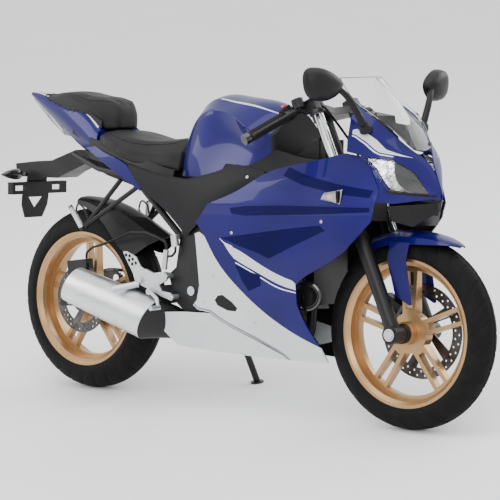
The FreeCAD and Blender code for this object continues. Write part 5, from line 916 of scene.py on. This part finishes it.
def make_seats():
    """Padded seats: each CAD solid remeshed, blown up a little and smoothed, with a seam along each side."""
    for name, node, cap, seam in SEATS:
        item = shown(name, frame["nodes"][node].data.copy())
        grid = item.modifiers.new("grid", "REMESH")
        grid.mode = "VOXEL"
        grid.voxel_size = VOXEL
        applied(item)
        smoothed(item, 0.6, 14)
        middle = sum((vertex.co for vertex in item.data.vertices), Vector()) / len(item.data.vertices)
        for vertex in item.data.vertices:
            vertex.co = middle + (vertex.co - middle) * SHRINK
        blown(item, cap)
        fine = item.modifiers.new("fine", "SUBSURF")
        fine.levels = fine.render_levels = 1
        smoothed(item, 0.5, 14)
        dressed(item, VINYL, node=node, sharp=60)
        for number, side in enumerate((-1, 1)):
            path = []
            for point in refine([spot(x, side * out, up) for x, out, up in seam], 10)[::2]:
                near, normal = item.closest_point_on_mesh(PARK @ Vector(point))[1:3]
                path.append(tuple(near + normal * SEAM_LIFT))
            piece(f"{name}_seam_{number}", *tube(path, SEAM_RADIUS, 6), PLASTIC, AS_IS, slot="seat_vinyl")


# Wheels

TREAD_STEPS = 300
BLOCKS = 30
BEAD_RADIUS, BEAD_FOOT = 0.2288, 0.217
BEAD_INSETS = (0.0046, 0.0052)
WALL_BULGE, WALL_RING = 0.0012, 0.0006
LONG_CUT, SHORT_CUT, MIDDLE_CUT = 0.0028, 0.0022, 0.0024


def tyre_profile(radius, width, rim_half):
    """Points (radius, out, mark) over a tyre. The mark is up to 1 on the tread, 2 to 3 on the wall and 4 at
    the bead, with the side's sign."""
    crown = width / 2
    shoulder = radius - crown
    half = []
    for step in range(1, 25):
        angle = math.radians(step * 3.75)
        half.append((shoulder + crown * math.cos(angle), crown * math.sin(angle), step / 24))
    for share in np.linspace(0.08, 1, 7):
        half.append((shoulder + (BEAD_RADIUS - shoulder) * share,
                     crown + (rim_half - crown) * share + WALL_BULGE * math.sin(share * math.pi), 2 + share))
    half += [(reach, rim_half - inset, 4) for reach, inset in zip((BEAD_RADIUS, BEAD_FOOT), BEAD_INSETS)]
    return [(reach, -out, -mark) for reach, out, mark in half[::-1]] + [(radius, 0.0, 0.0)] + half


def groove_depth(turn, mark):
    """How deep the tread is cut at a share of a block's length and a place across."""
    place = abs(mark)
    depth = 0.0
    if place < 0.93:
        shift = 0.5 if mark > 0 else 0
        sweep = place ** 1.3 * 0.9
        if 0.16 < place < 0.9 and (turn + sweep + shift) % 1 < 0.16:
            depth = LONG_CUT
        if 0.45 < place < 0.86 and (turn + sweep * 1.7 + 0.35 + shift) % 1 < 0.1:
            depth = SHORT_CUT
        if place < 0.05:
            depth = MIDDLE_CUT
    elif 2.3 < place < 2.42:
        depth = -WALL_RING
    return depth


def make_tyre(name, node, body, radius, width, rim_half, place, rotation):
    """A round crowned tyre with moulded grooves, a thin ring on the wall and a bead."""
    profile = tyre_profile(radius, width, rim_half)
    points = []
    for step in range(TREAD_STEPS):
        turn = 2 * math.pi * step / TREAD_STEPS
        for reach, out, mark in profile:
            depth = groove_depth(step / TREAD_STEPS * BLOCKS * rotation, mark)
            points.append(((reach - depth) * math.cos(turn), out * (1 - depth * 4),
                           (reach - depth) * math.sin(turn)))
    count = len(profile)
    faces = quads(TREAD_STEPS, count, 0, True)
    last = (TREAD_STEPS - 1) * count
    faces += [(last + c, last + (c + 1) % count, (c + 1) % count, c) for c in range(count)]
    piece(name, points, faces, RUBBER, place, body=body, node=node, sharp=24)


HUB_BOLTS = (("front", FRONT, 0.056, 1), ("rear", REAR, -0.067, -1))
BOLT_COUNT, BOLT_CIRCLE, BOLT_START = 5, 0.034, 20
SEAL = [(0.009, -0.0675), (0.029, -0.0675), (0.0305, -0.0655), (0.031, -0.05), (0.024, -0.0495),
        (0.024, -0.064), (0.009, -0.0665)]
VALVES = (("front", FRONT, (0.188, 0.01, 0.021)), ("rear", REAR, (0.186, 0.012, 0.021)))
VALVE_ROOT = (0.2, 0.004, 0.022)
AXLE_END = 0.1232
WASHER = [(0.0, 0), (0.019, 0), (0.019, 0.002), (0.0, 0.002)]


def make_wheels():
    make_tyre("front_tread", "front_tyre", "front_wheel", FRONT_RADIUS, 0.1, 0.044, FRONT, 1)
    make_tyre("rear_tread", "rear_tyre", "rear_wheel", REAR_RADIUS, 0.13, 0.059, REAR, -1)
    for part, node, coat, facts in (("casting", "rim", GOLD, (0.0025, 30, 3)),
                                    ("rotor", "disc", DISC, (0.0004, 40, 1))):
        for end in ("front", "rear"):
            soft_copy(f"{end}_{part}", f"{end}_{node}", coat, *facts)
    for end, place, out, way in HUB_BOLTS:
        bolts = Batch()
        for step in range(BOLT_COUNT):
            turn = math.radians(360 / BOLT_COUNT * step + BOLT_START)
            start = (BOLT_CIRCLE * math.cos(turn), out, BOLT_CIRCLE * math.sin(turn))
            bolts.put(screw_head(0.006, 0.005), aimed(start, (0, way, 0)))
        bolts.done(f"{end}_hub_bolts", SATIN, place, body=f"{end}_wheel")
    piece("front_seal", *lathe(SEAL, 40), PLASTIC, FRONT, body="front_wheel")
    for end, place, tip in VALVES:
        piece(f"{end}_valve", *tube([VALVE_ROOT, tip], 0.003, 8), SATIN, place, body=f"{end}_wheel")
    nuts = Batch()
    for side in (-1, 1):
        place = aimed((0, side * AXLE_END, 0), (0, side, 0))
        nuts.put(hex_nut(0.015, 0.009), place).put(lathe(WASHER, 24), place)
    nuts.done("front_axle_nuts", SILVER, FRONT, body="steering")


# Everything that stays a CAD shape with a better surface

SOFTENED = (
    ("fork_sliders", SATIN, 0.002), ("fork_yokes", SATIN, 0.002), ("handlebars", SATIN, 0.001),
    ("front_caliper", SATIN, 0.003), ("rear_caliper", SATIN, 0.003), ("main_frame", SATIN, 0.003),
    ("engine", ENGINE, 0.006), ("swingarm", SATIN, 0.003), ("radiator", SATIN, 0.002),
    ("instrument_panel", PLASTIC, 0.005), ("nose_underpanel", PLASTIC, 0.002),
    ("plate_holder", PLASTIC, 0.0015), ("undertray", PLASTIC, 0.003), ("rearset_right", SILVER, 0.0012),
    ("rearset_left", SILVER, 0.0012),
    ("side_stand", SATIN, 0.0015), ("muffler", BRUSHED, 0.003), ("front_fender", BLUE, 0.0012),
    ("belly_pan", WHITE, 0.0015), ("rear_hugger", PLASTIC, 0.0012),
)
KEPT = (
    (CHROME, ("fork_tubes",)), (DISC, ("bar_ends", "chain", "rear_sprocket")),
    (SILVER, ("front_axle", "rear_axle", "swingarm_pivot")), (GRIP, ("grips",)),
    (SATIN, ("rear_subframe", "exhaust_pipe", "hand_controls", "rear_shock", "pillion_pegs")),
    (INDICATOR, ("front_indicators",)), (LENS, ("rear_indicators",)), (SMOKE, ("tail_light",)),
    (PLASTIC, ("front_brake_hose", "rear_brake_hoses")),
)


def make_softened():
    for node, coat, width in SOFTENED:
        soft_copy(node + "_form", node, coat, width)
    for coat, nodes in KEPT:
        for node in nodes:
            coated(node, coat)


# Controls, instruments, screws and chain

BAR_AHEAD, BAR_OUT = 0.04715, 0.127


def on_bar(side, reach, lift=0.0, ahead=0.0):
    """A place on a handlebar, reach from its root, with Y along the bar outward."""
    way = Vector((-0.4729, side * 0.8351, -0.2817))
    front = Vector((0.8811, side * 0.4482, -0.1512))
    over = front.cross(way) * side
    start = Vector((BAR_AHEAD, side * BAR_OUT, 0.0233)) + way * reach + over * lift + front * ahead
    return at(*start) @ Matrix((front * side, way, over)).transposed().to_4x4()


def upward(x, y, z):
    return aimed((x, y, z), (0, 0, 1))


RIB_COUNT, RIB_START, RIB_STEP = 22, 0.104, 0.0056
RIB_RADIUS, RIB_ROUND, FLANGE_START = 0.0166, 0.0009, 0.0965
FLANGE = [(0.011, 0.0), (0.0215, 0.0), (0.0225, 0.0025), (0.0215, 0.005), (0.011, 0.005)]
SWITCHES = [(0.011, 0.064), (0.0185, 0.065), (0.0205, 0.07), (0.0205, 0.09), (0.0185, 0.0955),
            (0.011, 0.0965)]
LEVER_CLAMP = [(0.011, 0.034), (0.017, 0.035), (0.0175, 0.048), (0.011, 0.049)]
CUP_AHEAD, CUP_OUT, CUP_TOP = 0.07, -0.153, 0.0207
CUP_BRACKET = [(0.05, -0.188, 0.002), (0.054, -0.174, -0.004), (0.066, -0.16, -0.008)]
CUP_SCREWS = [(x, y) for x in (-0.021, 0.021) for y in (-0.016, 0.016)]


def make_controls():
    """Ribbed grips, switch housings, the reservoir and its cap, and the red switch."""
    ribs, boxes, bright = Batch(), Batch(), Batch()
    for side in (-1, 1):
        for number in range(RIB_COUNT):
            ribs.put(ring(RIB_RADIUS, RIB_ROUND, 24, 6), on_bar(side, RIB_START + RIB_STEP * number))
        ribs.put(lathe(FLANGE, 32), on_bar(side, FLANGE_START))
        boxes.put(lathe(SWITCHES, 32), on_bar(side, 0))
        boxes.put(slab(0.034, 0.026, 0.013, 0.005), on_bar(side, 0.08, 0.014))
        boxes.put(lathe(LEVER_CLAMP, 28), on_bar(side, 0))
        for reach in (0.072, 0.089):
            place = on_bar(side, reach, 0.004, 0.02) @ aimed((0, 0, 0), (side, 0, 0))
            bright.put(screw_head(0.0028, 0.002), place)
        bright.put(screw_head(0.0045, 0.003), on_bar(side, 0.053, 0.01, 0.016) @ upward(0, 0, 0))
    boxes.put(slab(0.052, 0.044, 0.028, 0.009), at(CUP_AHEAD, CUP_OUT, -0.015))
    boxes.put(slab(0.056, 0.048, 0.007, 0.01), at(CUP_AHEAD, CUP_OUT, 0.0135))
    boxes.put(tube(CUP_BRACKET, 0.008, 12))
    ribs.done("grip_ribs", GRIP, STEER, body="steering")
    boxes.done("switch_housings", PLASTIC, STEER, body="steering")
    bright.done("control_screws", SILVER, STEER, body="steering")
    button = slab(0.018, 0.012, 0.008, 0.003)
    piece("stop_switch", *button, RED, STEER @ on_bar(-1, 0.08, 0.027), body="steering")
    lids = Batch()
    for x, y in CUP_SCREWS:
        lids.put(screw_head(0.003, 0.0015), upward(CUP_AHEAD + x, CUP_OUT + y, CUP_TOP))
    lids.done("cup_screws", SATIN, STEER, body="steering")
    nuts = Batch()
    for side in (-1, 1):
        place = upward(BAR_AHEAD, side * 0.095, 0.026)
        nuts.put(hex_nut(0.0125, 0.006), place).put(ring(0.0155, 0.0018, 32, 8, 0.0015), place)
    nuts.put(hex_nut(0.018, 0.01), upward(0, 0, 0.0122))
    nuts.done("fork_caps", SILVER, STEER, body="steering")


DIAL_WAY, DIAL_UP = (-0.916, 0, 0.401), (0.401, 0, 0.916)
DIALS = ((0.026, 0.034, 13), (-0.034, 0.024, 7))
DIAL_START, DIAL_SWEEP, NEEDLE_TURN = -40, 260, 215


def make_instruments():
    """Two round dials with plain marks, facing the rider."""
    base = at(1.1655, 0, 0.9235) @ Matrix(((0, 1, 0), DIAL_WAY, DIAL_UP)).transposed().to_4x4()
    rims, face, marks = Batch(), Batch(), Batch()
    for across, radius, count in DIALS:
        place = base @ at(across, 0, 0)
        edge = [(radius, 0.0), (radius + 0.003, 0.0), (radius + 0.003, 0.006), (radius + 0.001, 0.008),
                (radius, 0.006), (radius, 0.0)]
        rims.put(lathe(edge), place)
        face.put(lathe([(0.0, 0.0015), (radius, 0.0015)]), place)
        for step in range(count):
            turned = spin(DIAL_START + step * DIAL_SWEEP / (count - 1), "Y")
            marks.put(slab(0.0055, 0.0006, 0.0008, 0.0002), place @ turned @ at(radius * 0.84, 0.0018, 0))
        needle = spin(NEEDLE_TURN, "Y") @ at(radius * 0.36, 0.003, 0)
        marks.put(slab(radius * 0.72, 0.0008, 0.0012, 0.0003), place @ needle)
    rims.done("dial_rims", GLOSS_BLACK)
    face.done("dial_faces", LENS)
    marks.done("dial_marks", WHITE)


SILVER_SCREWS = (("side_panel", 0.788, 0.58), ("side_panel", 1.159, 0.634), ("spar_cover", 0.835, 0.756),
                 ("lower_panel", 0.655, 0.352), ("lower_panel", 0.857, 0.3), ("lower_panel", 0.7, 0.44))
SCREW_SUNK = 0.0006
BULB_SPOT, BASE_SPOT = (1.203, 0.2155, 0.712), (1.229, 0.213, 0.694)
REST_ROOT, REST_TIP = (0.093, 0.775, 0.552), (0.066, 0.95, 0.632)
REST_RIBS, REST_RIB_START, REST_RIB_STEP = 7, 0.3, 0.09
SCREEN_PINS = ((1.374, 0.27, 0.874), (1.284, 0.52, 0.96))
HORN_SPOT, HORN_WAY = (1.03, -0.112, 0.392), (0.45, -0.89, 0.0)
HORN_STRUT = [(1.02, -0.1, 0.42), (0.985, -0.085, 0.47)]
HORN = [(0.0, -0.03), (0.03, -0.028), (0.044, -0.012), (0.046, 0.0), (0.046, 0.006), (0.04, 0.008),
        (0.036, 0.004), (0.018, 0.003), (0.014, 0.008), (0.0, 0.009)]
INFILLS = (
    ("seat_infill", 2, PLASTIC, ((80, ((560, 860), (580, 790))), (270, ((600, 815), (660, 755))),
                                 (400, ((620, 780), (680, 735))), (475, ((600, 762), (680, 722))))),
    ("tank_skirt", 2, PLASTIC, ((438, ((360, 812), (400, 690))), (482, ((360, 825), (420, 690))),
                                (520, ((450, 775), (480, 690))), (600, ((530, 775), (540, 690))),
                                (700, ((570, 795), (580, 700))))),
    ("pillion_base", 2, PLASTIC, ((-30, ((400, 945), (430, 870))), (60, ((430, 938), (460, 840))),
                                  (108, ((420, 915), (470, 835))))),
    ("inner_panel", 3, COVER, ((700, ((600, 800), (760, 760))), (860, ((560, 845), (800, 770))),
                               (960, ((600, 832), (840, 780))), (1040, ((720, 822), (840, 795))),
                               (1105, ((760, 818), (840, 808))))),
)
TANK_MIDDLE = 0.88
TANK_END_RINGS = ((0.8835, 1.0), (0.8862, 1.002), (0.893, 0.985), (0.897, 0.94))


def make_trim():
    """Screws, indicator bulbs, passenger rests, the horn and the dark infill round the tank and seats."""
    screws, pins, bulbs, bases, rests = Batch(), Batch(), Batch(), Batch(), Batch()
    for name, x, z in SILVER_SCREWS:
        for side, twin in SIDES:
            point, normal = skin_hit(f"{name}_{twin}", x, z, side)
            screws.put(screw_head(0.0052, 0.0026), aimed(point - normal * SCREW_SUNK, normal))
    screws.done("panel_screws", SILVER, AS_IS)
    for x, out, z in SCREEN_PINS:
        for side in (-1, 1):
            pins.put(screw_head(0.0055, 0.003), aimed(spot(x, side * out, z), (0.62, -side * 0.3, 0.72)))
    pins.done("screen_pins", GLOSS_BLACK)
    for side in (-1, 1):
        bulbs.put(sphere(0.0085), at(BULB_SPOT[0], side * BULB_SPOT[1], BULB_SPOT[2]))
        bases.put(slab(0.01, 0.014, 0.036, 0.003), at(BASE_SPOT[0], side * BASE_SPOT[1], BASE_SPOT[2]))
        root, tip = (spot(x, -side * out, z) for x, out, z in (REST_ROOT, REST_TIP))
        line = tip - root
        rests.put(tube([root + line * 0.12, tip + line * 0.01], 0.0092, 16, 0.008))
        for number in range(REST_RIBS):
            start = root + line * (REST_RIB_START + REST_RIB_STEP * number)
            rests.put(ring(0.0086, RIB_ROUND, 20, 6), aimed(start, line))
    bulbs.done("indicator_bulbs", AMBER)
    bases.done("indicator_bases", PLASTIC)
    rests.done("pillion_rests", SILVER)
    horn = Batch().put(lathe(HORN, 40), aimed(HORN_SPOT, HORN_WAY)).put(tube(HORN_STRUT, 0.006, 8))
    horn.done("horn", GLOSS_BLACK)
    for name, across, coat, rows in INFILLS:
        both_sides(raw(name, *thick(surface(mm(rows), [], 6, across), SHEET)), name, coat)
    line = bent([spot(0, out, up) for out, up in TANK_ROWS[-1][1]], [1, 2], 6)
    line = np.concatenate((line, line[:0:-1] * (1, -1, 1)))
    middle = np.array((0, 0, TANK_MIDDLE))
    rings = [middle + (line - middle) * share + (x, 0, 0) for x, share in TANK_END_RINGS]
    count = len(line)
    faces = quads(4, count, 0, True) + [tuple(range(count)), tuple(range(4 * count - 1, 3 * count - 1, -1))]
    piece("tank_front", np.concatenate(rings), faces, PLASTIC)


SPROCKETS = ((Vector((0.65, 0, 0.372)), 0.03), (Vector((0, 0, REAR_RADIUS)), 0.092))
PITCH = 0.0127
CHAIN_OUT = 0.08
ROLLER = [(0.0, -0.0098), (0.0022, -0.0098), (0.0022, 0.0098), (0.0, 0.0098)]
PLATE_RADIUS, PLATE_WALL = 0.0046, 0.001
PLATE_OUTS = (0.0074, 0.0088)


def chain_spots():
    """The middles of the chain's pins round its loop."""
    (small, small_radius), (large, large_radius) = SPROCKETS
    span = small - large
    tilt = math.atan2(span.z, span.x)
    wrap = math.acos((large_radius - small_radius) / span.length)
    path = []
    for centre, radius, first, sweep, steps in (
            (large, large_radius, tilt + wrap, 2 * math.pi - 2 * wrap, 40),
            (small, small_radius, tilt - wrap, 2 * wrap, 20)):
        for step in range(steps + 1):
            turn = first + sweep * step / steps
            path.append(centre + Vector((math.cos(turn), 0, math.sin(turn))) * radius)
    path.append(path[0])
    runs = [(b - a).length for a, b in zip(path, path[1:])]
    count = round(sum(runs) / PITCH)
    spots = []
    for number in range(count):
        left = sum(runs) * number / count
        index = 0
        while left > runs[index]:
            left -= runs[index]
            index += 1
        spots.append(path[index].lerp(path[index + 1], left / runs[index]))
    return spots


def make_chain():
    """Side plates and rollers on the chain's loop."""
    plates, pins = Batch(), Batch()
    spots = chain_spots()
    for index, point in enumerate(spots):
        after = spots[(index + 1) % len(spots)]
        along = (after - point).normalized()
        over = Vector((0, 1, 0)).cross(along)
        pins.put(lathe(ROLLER, 8), at(point.x, CHAIN_OUT, point.z))
        outline = []
        for centre, first in ((after, -80), (point, 100)):
            for step in range(5):
                turn = math.radians(first + step * 40)
                outline.append(centre + (along * math.cos(turn) + over * math.sin(turn)) * PLATE_RADIUS)
        for side in (-1, 1):
            depth = CHAIN_OUT + side * PLATE_OUTS[index % 2]
            points = [(p.x, depth + shift, p.z) for shift in (0, side * PLATE_WALL) for p in outline]
            faces = [tuple(range(10)), tuple(range(19, 9, -1))]
            faces += [(k, (k + 1) % 10, 10 + (k + 1) % 10, 10 + k) for k in range(10)]
            plates.put((points, faces))
    plates.done("chain_plates", DISC)
    pins.done("chain_pins", SILVER)


# Stage, lights and camera

FLOOR_HALF = 60
SKY = 1.45
LAMPS = (
    ("top", (0.6, -0.4, 4.2), (0, 0, 0.4), 4.5, 3.0, 110),
    ("key", (3.2, -4.0, 3.0), (0.1, 0, 0.5), 2.6, 2.0, 90),
    ("rear", (-4.0, -2.6, 2.4), (0, 0, 0.6), 2.2, 2.2, 70),
    ("far", (1.5, 4.5, 2.6), (0, 0, 0.6), 3.0, 2.0, 80),
)


def make_stage():
    mesh = bpy.data.meshes.new("floor")
    corners = ((-1, -1), (1, -1), (1, 1), (-1, 1))
    mesh.from_pydata([(x * FLOOR_HALF, y * FLOOR_HALF, 0) for x, y in corners], [], [(0, 1, 2, 3)])
    mesh.materials.append(FLOOR)
    shown("floor", mesh)
    world = bpy.data.worlds.new("studio")
    world.use_nodes = True
    sky = world.node_tree.nodes["Background"]
    sky.inputs["Color"].default_value = (1, 1, 1, 1)
    sky.inputs["Strength"].default_value = SKY
    bpy.context.scene.world = world
    for name, start, aim, wide, tall, power in LAMPS:
        lamp = bpy.data.lights.new(name, "AREA")
        lamp.shape = "RECTANGLE"
        lamp.size, lamp.size_y = wide, tall
        lamp.energy = power
        item = shown(name, lamp)
        item.location = start
        item.rotation_euler = (Vector(start) - Vector(aim)).to_track_quat("Z", "Y").to_euler()


# The camera was fitted to the photograph. Its angles are in radians, its focal length and centre in pixels.
YAW, PITCH_ANGLE, ROLL = 2.27104364, -0.06366822, 0.01185259
FOCUS, CENTRE, PICTURE = 2286.2568, (280.70963, 220.80312), 500
EYE = (5.51475882, -5.56292915, 1.07541888)
SENSOR = 36


def make_camera():
    ahead = Vector((math.cos(PITCH_ANGLE) * math.cos(YAW), math.cos(PITCH_ANGLE) * math.sin(YAW),
                    math.sin(PITCH_ANGLE)))
    right = ahead.cross(Vector((0, 0, 1))).normalized()
    over = right.cross(ahead)
    side = right * math.cos(ROLL) + over * math.sin(ROLL)
    up = over * math.cos(ROLL) - right * math.sin(ROLL)
    data = bpy.data.cameras.new("camera")
    data.sensor_width = SENSOR
    data.lens = FOCUS * SENSOR / PICTURE
    data.shift_x = (PICTURE / 2 - CENTRE[0]) / PICTURE
    data.shift_y = (CENTRE[1] - PICTURE / 2) / PICTURE
    camera = shown("camera", data)
    camera.matrix_world = PARK @ at(*EYE) @ Matrix((side, up, -ahead)).transposed().to_4x4()
    bpy.context.scene.camera = camera


for make in (make_panels, make_stripes, make_screen, make_lamps, make_cheeks, make_mirrors, make_seats,
             make_wheels, make_softened, make_controls, make_instruments, make_trim, make_chain, make_stage,
             make_camera):
    make()
